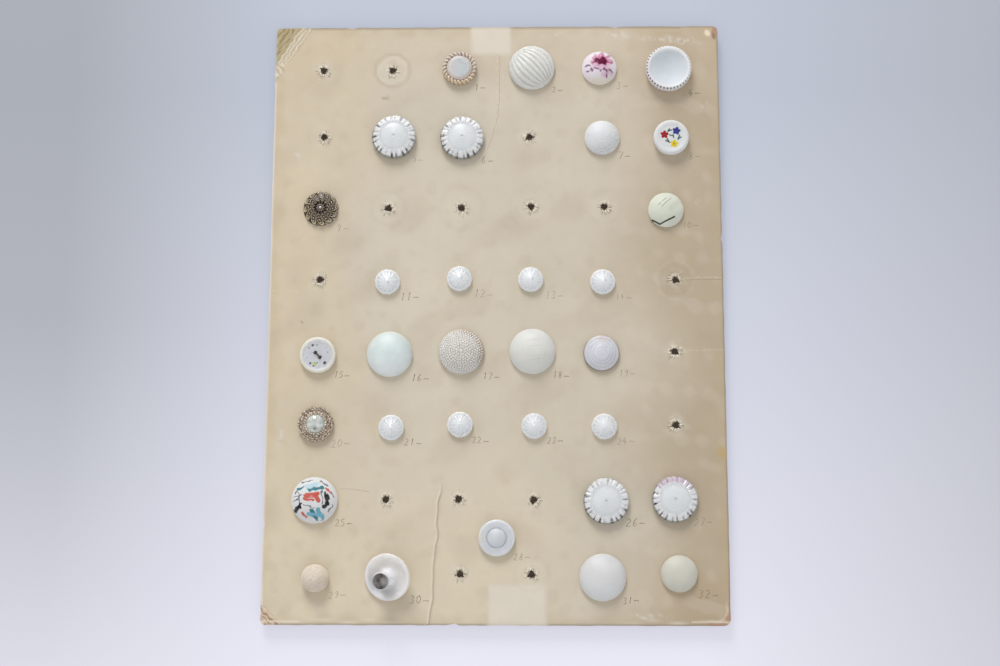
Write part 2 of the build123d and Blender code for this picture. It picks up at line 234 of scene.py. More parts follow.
def relief_points(outline, height, tint, rings, spokes, under=None):
    """Points, faces and colours of a button whose face is a height over a round or scalloped outline."""
    angle = np.linspace(0, TURN, spokes, endpoint=False)
    edge = outline(angle)
    share = (np.arange(1, rings + 1) / rings)[:, None]
    x = share * edge * np.cos(angle)
    y = share * edge * np.sin(angle)
    z = height(x, y)
    colour = tint(x, y).values
    centre_z = height(np.zeros(1), np.zeros(1))
    centre_colour = tint(np.zeros(1), np.zeros(1)).values
    # The side goes down from the face's edge, bulges a little, and turns in to the flat back
    under = under or [(0.0, 0.55), (0.12, 0.25), (back_bevel, 0.0)]
    sides = []
    for inset, level in under:
        out = edge - inset
        sides.append(np.stack([out * np.cos(angle), out * np.sin(angle), z[-1] * level], -1))
    face = np.stack([x, y, z], -1).reshape(-1, 3)
    points = np.vstack([[[0, 0, centre_z[0]]], face, np.vstack(sides), [[0, 0, 0]]])
    side_colours = np.vstack([colour[-1]] * len(under))
    colours = np.vstack([centre_colour.reshape(1, 4), colour.reshape(-1, 4), side_colours, colour[-1][:1]])
    faces = ring_faces(rings + len(under), spokes, 0, 1)
    last = 1 + (rings + len(under) - 1) * spokes
    back = len(points) - 1
    faces += [(back, last + (s + 1) % spokes, last + s) for s in range(spokes)]
    return points, faces, colours


def shank_points(radius):
    """Points and faces of a shank with an eye through it, on the Z axis below the card's front."""
    depth_in_glass = 0.3
    end_bevel = 0.45
    bar_height = card_front + depth_in_glass
    bpy.ops.mesh.primitive_cylinder_add(vertices=32, radius=radius, depth=bar_height)
    bar = bpy.context.object
    bar.location.z = bar_height / 2 - card_front
    lying = (0, math.pi / 2, 0)
    bpy.ops.mesh.primitive_cylinder_add(vertices=20, radius=eye_radius, depth=4 * radius, rotation=lying)
    eye = bpy.context.object
    eye.location.z = pin_level - eye_drop - card_front
    bevel = bar.modifiers.new("end", "BEVEL")
    bevel.width = end_bevel
    bevel.segments = 3
    cut = bar.modifiers.new("eye", "BOOLEAN")
    cut.object = eye
    bpy.context.view_layer.update()
    made = bar.evaluated_get(bpy.context.evaluated_depsgraph_get())
    mesh = made.to_mesh()
    points = np.array([made.matrix_world @ vertex.co for vertex in mesh.vertices])
    faces = [tuple(polygon.vertices) for polygon in mesh.polygons]
    bpy.data.objects.remove(bar)
    bpy.data.objects.remove(eye)
    return points, faces


SHANK = shank_points(shank_radius)
SLIM_SHANK = shank_points(slim_shank_radius)


def joined(first, second, colour):
    """Two sets of points and faces as one; the second gets one colour."""
    points, faces, colours = first
    more_points, more_faces = second
    shift = len(points)
    faces = faces + [tuple(index + shift for index in face) for face in more_faces]
    colours = np.vstack([colours, np.tile([*colour, 0.0], (len(more_points), 1))])
    return np.vstack([points, more_points]), faces, colours


def turned_points(points, angle):
    """Points turned about the Z axis."""
    c, s = math.cos(angle), math.sin(angle)
    return points @ np.array([[c, s, 0], [-s, c, 0], [0, 0, 1]])


def place_piece(piece, *nodes, slot=None):
    """Ties a finished piece to the part and hides the plain solids that it stands for."""
    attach(piece, "root")
    if nodes:
        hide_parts(*nodes)
    return piece


def button(node, height, tint, material, rings, spokes,
           outline=None, radius=None, slot=None, under=None, turn=0.0):
    """One moulded button with its shank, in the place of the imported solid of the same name."""
    radius = radius or node_radius(node)
    middle_x, middle_y, heading = pin_near(*node_middle(node))
    outline = outline or (lambda angle: np.full_like(angle, radius))
    points, faces, colours = relief_points(outline, height, tint, rings, spokes, under)
    points = turned_points(points, turn)
    shank = (turned_points(SHANK[0], heading), SHANK[1])
    # The shank shows the bare glass, which is the commonest colour of the face
    bare_glass = np.median(colours[:, :3], axis=0)
    points, faces, colours = joined((points, faces, colours), shank, bare_glass)
    points = points + [middle_x, middle_y, card_front]
    piece = add_mesh(node + "_glass", points, faces, material, colours)
    return place_piece(piece, node, slot=slot)


# Materials


def new_material(name):
    """Empty material and its shader."""
    material = bpy.data.materials.new(name)
    material.use_nodes = True
    return material, material.node_tree, material.node_tree.nodes["Principled BSDF"]


def set_inputs(node, values):
    """Sets a node's own values by their names."""
    for name, value in values.items():
        node.inputs[name].default_value = value


def painted(tree):
    """The colour and lustre kept at a mesh's points."""
    paint = tree.nodes.new("ShaderNodeAttribute")
    paint.attribute_name = "paint"
    return paint


def one_colour(tree, colour):
    """The same colour all over."""
    base = tree.nodes.new("ShaderNodeRGB")
    base.outputs[0].default_value = (*colour, 1)
    return base.outputs[0]


def noise_node(tree, scale, detail=3.0, roughness=0.55):
    """Noise in the object's own coordinates; the scale is in waves a metre."""
    place = tree.nodes.new("ShaderNodeTexCoord")
    noise = tree.nodes.new("ShaderNodeTexNoise")
    set_inputs(noise, {"Scale": scale, "Detail": detail, "Roughness": roughness})
    tree.links.new(place.outputs["Object"], noise.inputs["Vector"])
    return noise


def ranged(tree, value, low, high, to_low, to_high):
    """A value mapped from one range to another."""
    node = tree.nodes.new("ShaderNodeMapRange")
    set_inputs(node, {"From Min": low, "From Max": high, "To Min": to_low, "To Max": to_high})
    tree.links.new(value, node.inputs["Value"])
    return node.outputs["Result"]


def multiplied(tree, colour, factor):
    """A colour made lighter or darker by a factor."""
    node = tree.nodes.new("ShaderNodeVectorMath")
    node.operation = "SCALE"
    tree.links.new(colour, node.inputs[0])
    tree.links.new(factor, node.inputs["Scale"])
    return node.outputs["Vector"]


def combined(tree, operation, *values):
    """One value worked out from others."""
    node = tree.nodes.new("ShaderNodeMath")
    node.operation = operation
    for socket, value in zip(node.inputs, values):
        tree.links.new(value, socket)
    return node.outputs[0]


def mixed(tree, share, first, second):
    """A colour between two others; each is fixed or comes from another node."""
    node = tree.nodes.new("ShaderNodeMix")
    node.data_type = "RGBA"
    tree.links.new(share, node.inputs[0])
    for socket, colour in zip(node.inputs[6:8], (first, second)):
        if isinstance(colour, tuple):
            socket.default_value = (*colour, 1)
        else:
            tree.links.new(colour, socket)
    return node.outputs[2]


def x_and_y(tree, space):
    """The X and Y of each point, in one of the spaces that Blender offers."""
    place = tree.nodes.new("ShaderNodeTexCoord")
    split = tree.nodes.new("ShaderNodeSeparateXYZ")
    tree.links.new(place.outputs[space], split.inputs["Vector"])
    return split.outputs["X"], split.outputs["Y"]


def bumped(tree, shader, height, distance):
    """Fine relief on a shader; the distance is in metres."""
    bump = tree.nodes.new("ShaderNodeBump")
    set_inputs(bump, {"Distance": distance, "Strength": 1.0})
    tree.links.new(height, bump.inputs["Height"])
    tree.links.new(bump.outputs["Normal"], shader.inputs["Normal"])


def glass_material(name, roughness, coat=0.2, mottle=0.05, bump=0.00002, grain=900.0, soft=0.85, gloss=0.5):
    """Opaque old glass: painted colour, slight cloudiness, rubbed spots, and lustre from the paint."""
    material, tree, shader = new_material(name)
    paint = painted(tree)
    cloud = noise_node(tree, 160.0, 3.0)
    shade = ranged(tree, cloud.outputs["Fac"], 0.3, 0.7, 1.0 - mottle, 1.0 + mottle / 2)
    tree.links.new(multiplied(tree, paint.outputs["Color"], shade), shader.inputs["Base Color"])
    tree.links.new(paint.outputs["Alpha"], shader.inputs["Metallic"])
    rub = noise_node(tree, 420.0, 4.0)
    rubbed = ranged(tree, rub.outputs["Fac"], 0.35, 0.75, roughness * 0.8, roughness * 1.5)
    tree.links.new(rubbed, shader.inputs["Roughness"])
    fine = noise_node(tree, grain, 2.0)
    bumped(tree, shader, fine.outputs["Fac"], bump)
    set_inputs(shader, {
        "Specular IOR Level": gloss,
        "Coat Weight": coat,
        "Coat Roughness": 0.3,
        "Subsurface Weight": soft,
        "Subsurface Radius": (1.0, 0.95, 0.88),
        "Subsurface Scale": 0.008,
    })
    return material


def board_material():
    """Aged board: the painted stains, felted fibres, specks and a matte tooth."""
    material, tree, shader = new_material("aged_board")
    colour = painted(tree).outputs["Color"]
    broad = noise_node(tree, 45.0, 5.0, 0.6)
    close = noise_node(tree, 700.0, 4.0, 0.65)
    fibre = noise_node(tree, 2600.0, 2.0)
    for noise, low, high, dark, light in (
        (broad, 0.3, 0.7, 0.965, 1.03), (close, 0.3, 0.7, 0.988, 1.01), (fibre, 0.25, 0.75, 0.99, 1.008),
    ):
        colour = multiplied(tree, colour, ranged(tree, noise.outputs["Fac"], low, high, dark, light))
    tree.links.new(colour, shader.inputs["Base Color"])
    set_inputs(shader, {
        "Roughness": 0.86, "Specular IOR Level": 0.25, "Sheen Weight": 0.15, "Sheen Roughness": 0.6,
    })
    bumped(tree, shader, broad.outputs["Fac"], 0.0002)
    return material


def simple_material(name, colour, roughness, metallic=0.0, mottle=0.12, scale=500.0, coat=0.0, bump=0.00001):
    """One colour with a little unevenness and wear."""
    material, tree, shader = new_material(name)
    base = one_colour(tree, colour)
    wear = noise_node(tree, scale, 4.0)
    shade = ranged(tree, wear.outputs["Fac"], 0.3, 0.7, 1 - mottle, 1 + mottle)
    tree.links.new(multiplied(tree, base, shade), shader.inputs["Base Color"])
    rubbed = ranged(tree, wear.outputs["Fac"], 0.3, 0.7, roughness * 0.7, roughness * 1.4)
    tree.links.new(rubbed, shader.inputs["Roughness"])
    set_inputs(shader, {"Metallic": metallic, "Coat Weight": coat})
    bumped(tree, shader, wear.outputs["Fac"], bump)
    return material


polished = glass_material("polished_glass", 0.36, 0.15)
satin = glass_material("satin_glass", 0.52, 0.0, 0.03, 0.00002)
frosted = glass_material("frosted_glass", 0.45, 0.1, 0.07, 0.00012, 2300.0)
lustred = glass_material("lustred_glass", 0.3, 0.2, 0.05, 0.00002, 1400.0, soft=0.4)
thready = glass_material("thready_glass", 0.6, 0.0, 0.1, 0.00008, 1500.0, soft=0.3)
gilt = glass_material("gilt_lace", 0.35, 0.0, 0.16, 0.00003, 1600.0, soft=0.0)
cut_glass = glass_material("cut_glass", 0.08, 0.6, 0.04, 0.000005, 500.0, soft=0.2)
enamelled = glass_material("enamelled_glass", 0.45, 0.0, 0.04, 0.00001, 700.0, soft=0.2, gloss=0.16)
board = board_material()


# The buttons, from the head of the card down


def rope_rim_cabochon():
    """Flat pale disc in a border of twisted gold strands."""
    radius = node_radius("rope_rim_cabochon_button")
    strands = 24
    rope_half = 1.2
    slant = 1.6
    middle = radius - rope_half

    def strand(r, a):
        return 0.5 + 0.5 * np.cos(strands * a - slant * (r - middle))

    def height(x, y):
        r, a = polar(x, y)
        rope = np.sqrt(bulge(r - middle, rope_half))
        border = 1.5 + rope * (1.2 + 0.5 * strand(r, a))
        disc = 3.6 - 0.9 * smooth(4.9, 6.5, r)
        return np.where(r < middle - 1.15, disc, border)

    def tint(x, y):
        r, a = polar(x, y)
        paint = Paint((0.66, 0.59, 0.54), r)
        paint.lay(smooth(5.3, 4.7, r), (0.58, 0.61, 0.62))
        paint.lay(0.6 * smooth(6.6, 4.5, r) * smooth(1.0, -5.0, x), (0.70, 0.60, 0.60))
        grooves = smooth(6.4, 7.0, r) * smooth(0.62, 0.2, strand(r, a))
        paint.lay(0.85 * grooves, (0.30, 0.16, 0.07), 0.35)
        paint.lay(0.55 * grooves * smooth(-1, -7, y), (0.55, 0.30, 0.08), 0.5)
        return paint.lay(0.35 * smooth(6.5, 7.5, r) * smooth(2, -6, y), (0.62, 0.45, 0.22), 0.3)

    def outline(angle):
        return radius - 0.2 + 0.2 * np.cos(strands * angle - slant * rope_half)

    button("rope_rim_cabochon_button", height, tint, lustred, 40, 240, outline, slot="gilt_rim_glass")


def melon_ribbed():
    """High white crown with ribs that run between two poles on its rim."""
    radius = node_radius("melon_ribbed_button")
    ribs = 9
    pole_turn = math.radians(-45)
    reach = 11.6

    def grooves(x, y):
        """1 in the grooves, which run like meridians between the two poles, and 0 on the ribs."""
        along, across = turned(x, y, pole_turn)
        narrowing = np.sqrt(np.clip(1 - (along / reach) ** 2, 0.02, 1))
        place = across / narrowing / (2 * radius) * ribs
        return (1 - np.abs(np.cos(math.pi * place)) ** 0.55) * smooth(0.25, 0.6, narrowing)

    def height(x, y):
        r = np.hypot(x, y)
        return crown(r, radius, edge_height, 5.4) - 0.9 * grooves(x, y) * smooth(radius, radius - 1.5, r)

    def tint(x, y):
        paint = Paint((0.76, 0.75, 0.71), x)
        # Painted shade in the grooves
        paint.lay(0.6 * grooves(x, y) ** 1.5, (0.50, 0.49, 0.42))
        # Painted shade, yellowish, on the lower right of the crown
        return paint.lay(0.4 * blob(x, y, (9, -8), (5, 5), soft=1.0), (0.60, 0.55, 0.42))

    button("melon_ribbed_button", height, tint, polished, 48, 192, slot="white_glass")


def pink_floral():
    """White dome with a pink and plum blossom."""
    radius = node_radius("pink_floral_button")
    # A round blossom with a dark heart above the middle, over a low wreath of small leaves
    heart = (0.9, 2.9)
    petal_angles = (0.0, 0.8, 1.6, 2.4, 3.2)
    petals = [(heart[0] + 4.0 * math.cos(a), heart[1] + 3.0 * math.sin(a), a) for a in petal_angles]
    leaves = [
        (-5.8, 0.3), (-4.0, -1.6), (-1.6, -1.3), (0.6, -2.5), (3.0, -1.8), (5.6, -2.2), (3.6, -4.6),
        (-6.2, -2.2),
    ]

    def tint(x, y):
        bleed = 0.5
        soft_x = x + bleed * uneven(x, y, 3.4, 81)
        soft_y = y + bleed * uneven(x, y, 3.4, 82)
        paint = Paint((0.80, 0.73, 0.77), x)
        paint.lay(0.7 * smooth(-4, -8, y), (0.74, 0.68, 0.52))
        paint.lay(0.7 * blob(soft_x, soft_y, (3.8, -3.0), (4.6, 3.6), 0.6, 1.0), (0.56, 0.30, 0.42))
        paint.lay(0.8 * blob(soft_x, soft_y, heart, (7.2, 5.8), 0, 0.7), (0.64, 0.28, 0.44))
        for px, py, a in petals:
            paint.lay(0.85 * blob(soft_x, soft_y, (px, py), (2.6, 1.6), a, 0.6), (0.42, 0.07, 0.18))
            paint.lay(0.75 * blob(soft_x, soft_y, (px, py + 0.4), (1.5, 0.7), a, 0.7), (0.76, 0.46, 0.58))
        for leaf, spot in enumerate(leaves):
            paint.lay(0.85 * blob(soft_x, soft_y, spot, (1.7, 0.9), leaf * 1.3, 0.6), (0.20, 0.06, 0.17))
        return paint.lay(blob(soft_x, soft_y, heart, (4.1, 2.5), 0.1, 0.4), (0.13, 0.002, 0.035))

    def height(x, y):
        return dome(x, y, radius, 3.4)

    button("pink_floral_button", height, tint, enamelled, 56, 160, slot="painted_white_glass")


def dished_corded_rim():
    """Deep bluish dish with a rim of fine cords and painted ticks."""
    node = "dished_corded_rim_button"
    radius = node_radius(node)
    notches = 40
    rim_half = 1.25
    crest = radius - rim_half

    def height(x, y):
        r, a = polar(x, y)
        bowl = 1.8 + 3.0 * (np.minimum(r, crest) / crest) ** 2.2
        cords = 0.12 * np.cos(notches * a) * smooth(crest, crest + 0.6, r)
        rim = 5.0 - 0.75 * ((r - crest) / rim_half) ** 2 + cords
        return np.where(r < crest - 0.9, bowl, np.maximum(rim, bowl * (r < crest)))

    def tint(x, y):
        r, a = polar(x, y)
        tick = smooth(-0.1, 0.4, -np.cos(notches * a)) * smooth(radius - 1.0, radius - 0.75, r)
        tick = tick * smooth(radius - 0.1, radius - 0.35, r)
        left = 0.3 + 0.7 * smooth(0.4, -0.4, np.cos(a - 0.5))
        paint = Paint((0.80, 0.80, 0.81), r)
        paint.lay(0.7 * smooth(crest - 0.6, crest - 1.6, r), (0.62, 0.68, 0.72))
        blush = 0.6 * smooth(-0.2, -0.9, np.cos(a - 0.7)) * smooth(crest - 1.6, crest, r)
        paint.lay(blush, (0.76, 0.68, 0.74))
        paint.lay(0.95 * left * tick, (0.07, 0.015, 0.05))
        return paint.lay(0.9 * tick * smooth(-0.3, -0.8, np.sin(a)), (0.03, 0.12, 0.04))

    def outline(angle):
        return radius - 0.08 + 0.08 * np.cos(notches * angle)

    under = [(0.0, 0.8), (0.0, 0.3), (back_bevel, 0.0)]
    button(node, height, tint, enamelled, 44, 280, outline, slot="white_glass", under=under)


def fluted_moonglow(number, tone, phase):
    """Pearly low cone in a skirt of uneven lobes, silvered between them."""
    node = f"fluted_moonglow_button_{number}"
    flutes = 22
    shoulder = 6.6

    def notch(r, a):
        """1 in the middle of the notches, which open towards the rim, and 0 on the lobes between them."""
        place = ((a + phase) * flutes / TURN) % flutes
        lobe = np.floor(place)
        away = np.abs(place - lobe - 0.5 - 0.14 * np.sin(2.3 * lobe + number)) * 2
        width = 0.40 + (0.26 + 0.20 * np.sin(5.3 * lobe + number)) * smooth(shoulder + 0.4, 10.8, r)
        depth = 0.68 + 0.32 * np.sin(3.7 * lobe + 2 * number)
        return depth * smooth(width, 0, away) * smooth(shoulder + 0.2, shoulder + 2.6, r)

    def height(x, y):
        r, a = polar(x, y)
        cone = 5.3 - 0.13 * r - 0.012 * r**2 - 0.4 * ridge(r, 0.6)
        skirt = 3.9 - 0.26 * (r - shoulder) - 0.5 * smooth(10.6, 11.0, r)
        body = cone + (skirt - cone) * smooth(shoulder - 1.2, shoulder + 0.9, r)
        swell = 0.42 * (1 - notch(r, a)) * smooth(shoulder + 0.3, shoulder + 2.0, r)
        return body + (swell - 0.4 * notch(r, a)) * smooth(11.2, 10.4, r)

    def tint(x, y):
        r, a = polar(x, y)
        # Share of painted shade, strongest on the lower side
        low = smooth(0.8, -0.5, np.sin(a + 0.45))
        gap = notch(r, a)
        patch = smooth(-0.5, 0.6, uneven(x, y, 3.2, 100 + number))
        paint = Paint((0.76, 0.78, 0.79), r)
        # Painted shade round the tip of the cone
        paint.lay(0.45 * smooth(2.4, 0.3, r), (0.62, 0.64, 0.65))
        # Painted shadow in a ring where the cone meets the lobes
        paint.lay(0.5 * ridge(r - shoulder - 0.6, 0.9), (0.62, 0.64, 0.65))
        paint.lay(0.5 * gap, (0.54, 0.53, 0.54))
        paint.lay(0.55 * gap * patch * smooth(shoulder + 0.8, 9.0, r), tone, 0.2)
        spots = uneven(x, y, 1.5, 120 + number)
        skirt = smooth(shoulder + 0.6, shoulder + 1.8, r)
        # Painted highlights on the lobes
        paint.lay(0.7 * skirt * (1 - gap), (0.86, 0.86, 0.87))
        paint.lay(0.6 * skirt * smooth(0.1, 0.9, spots), (0.54, 0.50, 0.53), 0.2)
        paint.lay(0.6 * skirt * smooth(0.5, 1.1, -spots), (0.60, 0.62, 0.50), 0.2)
        # Dark marks in the notches near the rim, made stronger on the lower side as painted shade
        marks = (0.15 + 0.85 * low) * smooth(0.1, 0.6, gap) * smooth(8.6, 9.8, r)
        marks = marks * smooth(-0.5, 0.3, patch + 0.6 * spots)
        paint.lay(0.9 * marks, (0.05, 0.04, 0.045), 0.1)
        paint.lay(0.45 * smooth(7.6, 9, r) * smooth(3, 8, y) * (number == 4), (0.46, 0.26, 0.42), 0.2)
        # The dark rim of the glass, darkened further on the lower side as painted shade
        paint.lay((0.3 + 0.4 * low) * smooth(10.5, 10.9, r), (0.10, 0.11, 0.09), 0.3)
        # Painted shade in the dimple at the tip
        return paint.lay(0.7 * smooth(0.6, 0.2, r), (0.30, 0.31, 0.32))

    under = [(0.0, 0.7), (0.1, 0.3), (back_bevel, 0.0)]
    button(node, height, tint, lustred, 48, 260, slot="pearl_glass", under=under)


def fan_textured():
    """White dome with fine lines in the shape of fans on one side."""
    radius = node_radius("fan_textured_button")
    fan_width, fan_drop, line_gap = 7.0, 4.6, 1.2

    def lines(x, y):
        """Waves of small fans: rings about points of a staggered grid, each fan hidden by the next."""
        row = np.floor(y / fan_drop)
        shifted = x + (row % 2) * fan_width / 2
        fan_x = (shifted / fan_width - np.round(shifted / fan_width)) * fan_width
        fan_y = y - row * fan_drop
        strength = 0.12 + 0.88 * smooth(-4, 6, x - y)
        rings = np.cos(np.hypot(fan_x, fan_y) * TURN / line_gap)
        return strength * rings * smooth(radius, radius - 1, np.hypot(x, y))

    def height(x, y):
        return dome(x, y, radius, 3.4) + 0.09 * lines(x, y)

    def tint(x, y):
        paint = Paint((0.74, 0.75, 0.76), x)
        # Painted shade in the troughs of the fan lines
        return paint.lay(0.45 * smooth(0.0, -0.8, lines(x, y)), (0.50, 0.49, 0.46))

    button("fan_textured_button", height, tint, satin, 64, 288, slot="white_glass")


def flower_painted():
    """Flat face with three small flowers inside a raised border."""
    flowers = [
        ((-3.5, 1.2), (0.38, 0.012, 0.012)), ((2.6, 3.1), (0.03, 0.04, 0.26)),
        ((1.4, -3.6), (0.72, 0.55, 0.03)),
    ]
    stems = [
        ((-2.2, -1.0), (-1.0, -3.0)), ((-2.9, -2.0), (-1.4, -2.6)), ((0.2, 3.6), (-1.6, 3.0)),
        ((-0.9, 4.2), (-1.8, 2.8)), ((4.1, 0.9), (3.4, -1.4)), ((4.9, -0.2), (3.3, -1.0)),
        ((0.3, 0.6), (-0.9, 1.0)), ((1.1, -0.4), (0.9, 1.1)),
    ]
    border, border_half = 7.6, 1.4

    def height(x, y):
        r = np.hypot(x, y)
        bump = np.sqrt(bulge(r - border, border_half))
        return np.where(r > border, 3.1 + 1.1 * bump, 3.8 + 0.4 * smooth(5.4, border, r))

    def tint(x, y):
        paint = Paint((0.72, 0.72, 0.72), x)
        for start, end in stems:
            paint.lay(0.95 * stripe(x, y, start, end, 0.9), (0.03, 0.10, 0.09))
        for (fx, fy), colour in flowers:
            for petal in range(5):
                a = petal * TURN / 5 + fx
                spot = at_angle(fx, fy, 1.2, a)
                paint.lay(blob(x, y, spot, (1.1, 0.95), a, 0.35), colour)
            paint.lay(0.9 * blob(x, y, (fx, fy), (0.6, 0.6)), [0.35 * part for part in colour])
        return paint

    button("flower_painted_button", height, tint, enamelled, 72, 216, slot="painted_white_glass")


def bronze_swirl():
    """Dark lustred glass with a swirl of outlined petals round a bead."""
    radius = node_radius("bronze_swirl_button")
    petals = 12
    dot_gap = 1.25

    def petal_place(x, y):
        """Distance from the middle, place across the nearest petal, and share of the way to its edge."""
        r, a = polar(x, y)
        lobe = (petals * (a - 0.075 * r) / TURN + 0.5) % 1 - 0.5
        reach = np.sqrt(np.clip(((r - 5.6) / 3.25) ** 2, 0, None) + (lobe / 0.46) ** 2)
        return r, lobe, reach

    def dots(r, lobe):
        """1 on the dots that run down the middle of each petal."""
        row = smooth(0.1, 0.8, np.cos(r * TURN / dot_gap)) * ridge(lobe, 0.13)
        return row * smooth(2.4, 3.2, r) * smooth(8.2, 7.6, r)

    def height(x, y):
        r, lobe, reach = petal_place(x, y)
        line = ridge(reach - 0.88, 0.12)
        bead = 0.7 * np.sqrt(bulge(r, 0.9))
        collar = 0.3 * ridge(r - 1.5, 0.3) * (0.6 + 0.4 * np.cos(10 * np.arctan2(y, x)))
        body = crown(r, radius, 1.1, 2.4) - 0.9 * smooth(0.95, 1.25, reach) * smooth(1.8, 3.0, r)
        return body + 0.42 * line * smooth(1.6, 2.6, r) + 0.32 * dots(r, lobe) + bead + collar

    def tint(x, y):
        r, lobe, reach = petal_place(x, y)
        a = np.arctan2(y, x)
        lit = 0.6 + 0.4 * smooth(6, -6, x + y)
        paint = Paint((0.050, 0.030, 0.022), r)
        line = lit * ridge(reach - 0.9, 0.11) * smooth(2.6, 4.2, r)
        paint.lay(line, (0.66, 0.55, 0.33), 0.3)
        paint.lay(0.95 * dots(r, lobe), (0.70, 0.58, 0.44), 0.2)
        glass = smooth(1.1, 1.25, reach) * smooth(7.4, 7.9, r)
        paint.lay(glass * smooth(-0.4, 0.6, np.cos(a + 0.2)), (0.60, 0.50, 0.45), 0.0)
        collar = 0.8 * np.clip(np.cos(10 * a), 0, 1) * ridge(r - 1.5, 0.4)
        paint.lay(collar, (0.6, 0.5, 0.36), 0.2)
        return paint.lay(smooth(0.8, 0.5, r), (0.72, 0.66, 0.56), 0.2)

    button("bronze_swirl_button", height, tint, lustred, 72, 312, slot="bronze_glass")


def creased_cream():
    """Greenish cream dome with a pressed facet and black lines."""
    node = "creased_cream_button"
    radius = 8.9
    heading = math.radians(-62)
    bold_lines = [((-3.2, -7.6), (4.0, -4.1)), ((-7.0, -5.4), (-3.2, -7.6))]
    hair_lines = [
        ((-2.4, 1.0), (0.0, 3.4)), ((0.2, 3.6), (2.6, 5.6)),
        ((-4.2, 1.8), (-2.6, 3.4)), ((-2.0, 4.0), (0.2, 5.8)),
    ]

    def height(x, y):
        z = dome(x, y, radius, 3.4)
        along, across = turned(x, y, heading)
        facet = 3.46 - (along - 5.4) * math.tan(math.radians(38))
        fold = 0.35 * ridge(along - 1.0, 2.2) * smooth(0.5, 4, across)
        return np.maximum(np.minimum(z - fold, facet), 0.35)

    def tint(x, y):
        along, across = turned(x, y, heading)
        paint = Paint((0.69, 0.71, 0.60), x)
        paint.lay(smooth(5.0, 5.8, along), (0.74, 0.75, 0.66))
        # Painted shade along the pressed fold
        paint.lay(0.35 * blob(x, y, (3.2, 0.8), (4.4, 2.6), 0.9, 0.9), (0.50, 0.54, 0.45))
        for start, end in bold_lines:
            paint.lay(0.98 * stripe(x, y, start, end, 0.85, 0.35), BLACK)
        paint.lay(blob(x, y, (3.9, -4.1), (0.6, 0.6)), BLACK)
        for start, end in hair_lines:
            paint.lay(0.8 * stripe(x, y, start, end, 0.42, 0.7), (0.10, 0.11, 0.08))
        grid = np.sin(along * 9) * np.sin(across * 9)
        return paint.lay(0.2 * smooth(5.2, 5.8, along) * smooth(0.2, 0.6, grid), (0.4, 0.42, 0.32))

    button(node, height, tint, enamelled, 60, 180, radius=radius, slot="green_cream_glass")


def daisy(number, turn, shade):
    """Small low cone with petals pressed in its face and a scalloped edge."""
    node = f"daisy_button_{number}"
    radius = 6.42
    scallops = 14

    def height(x, y):
        r, a = polar(x, y)
        lobe = 0.5 + 0.5 * np.cos(scallops * a)
        cone = 1.5 + 2.5 * np.clip(1 - r / 6.4, 0, 1) ** 1.05
        petal = 0.14 * (lobe**0.7 - 0.4) * smooth(2.0, 3.6, r) * smooth(5.9, 5.3, r)
        lip = 0.17 * ridge(r - 5.9, 0.4)
        return cone + petal + lip - 0.12 * smooth(6.0, radius, r)

    def tint(x, y):
        r, a = polar(x, y)
        lobe = 0.5 + 0.5 * np.cos(scallops * a)
        draw = random.Random(number)
        paint = Paint((0.90, 0.92, 0.93), r)
        paint.lay(0.3 * smooth(0.3, 0.05, lobe) * smooth(3.0, 4.2, r) * smooth(5.8, 5.2, r), shade)
        dots = ridge(r - 4.9, 0.4) * smooth(0.7, 0.95, lobe)
        paint.lay(0.7 * dots, (0.46, 0.44, 0.50))
        # Painted shade on the cone, just below and a little right of its tip
        spot = (0.6 + draw.uniform(-0.3, 0.5), -0.9 + draw.uniform(-0.5, 0.3))
        paint.lay(0.55 * blob(x, y, spot, (1.0, 0.7), 0.6, 0.9), (0.28, 0.36, 0.44))
        return paint.lay(0.7 * smooth(5.3, 5.8, r), (0.94, 0.935, 0.915))

    def outline(angle):
        return radius - 0.16 + 0.16 * np.abs(np.cos(scallops / 2 * angle))

    button(node, height, tint, polished, 32, 168, outline, radius, "daisy_glass", turn=turn)


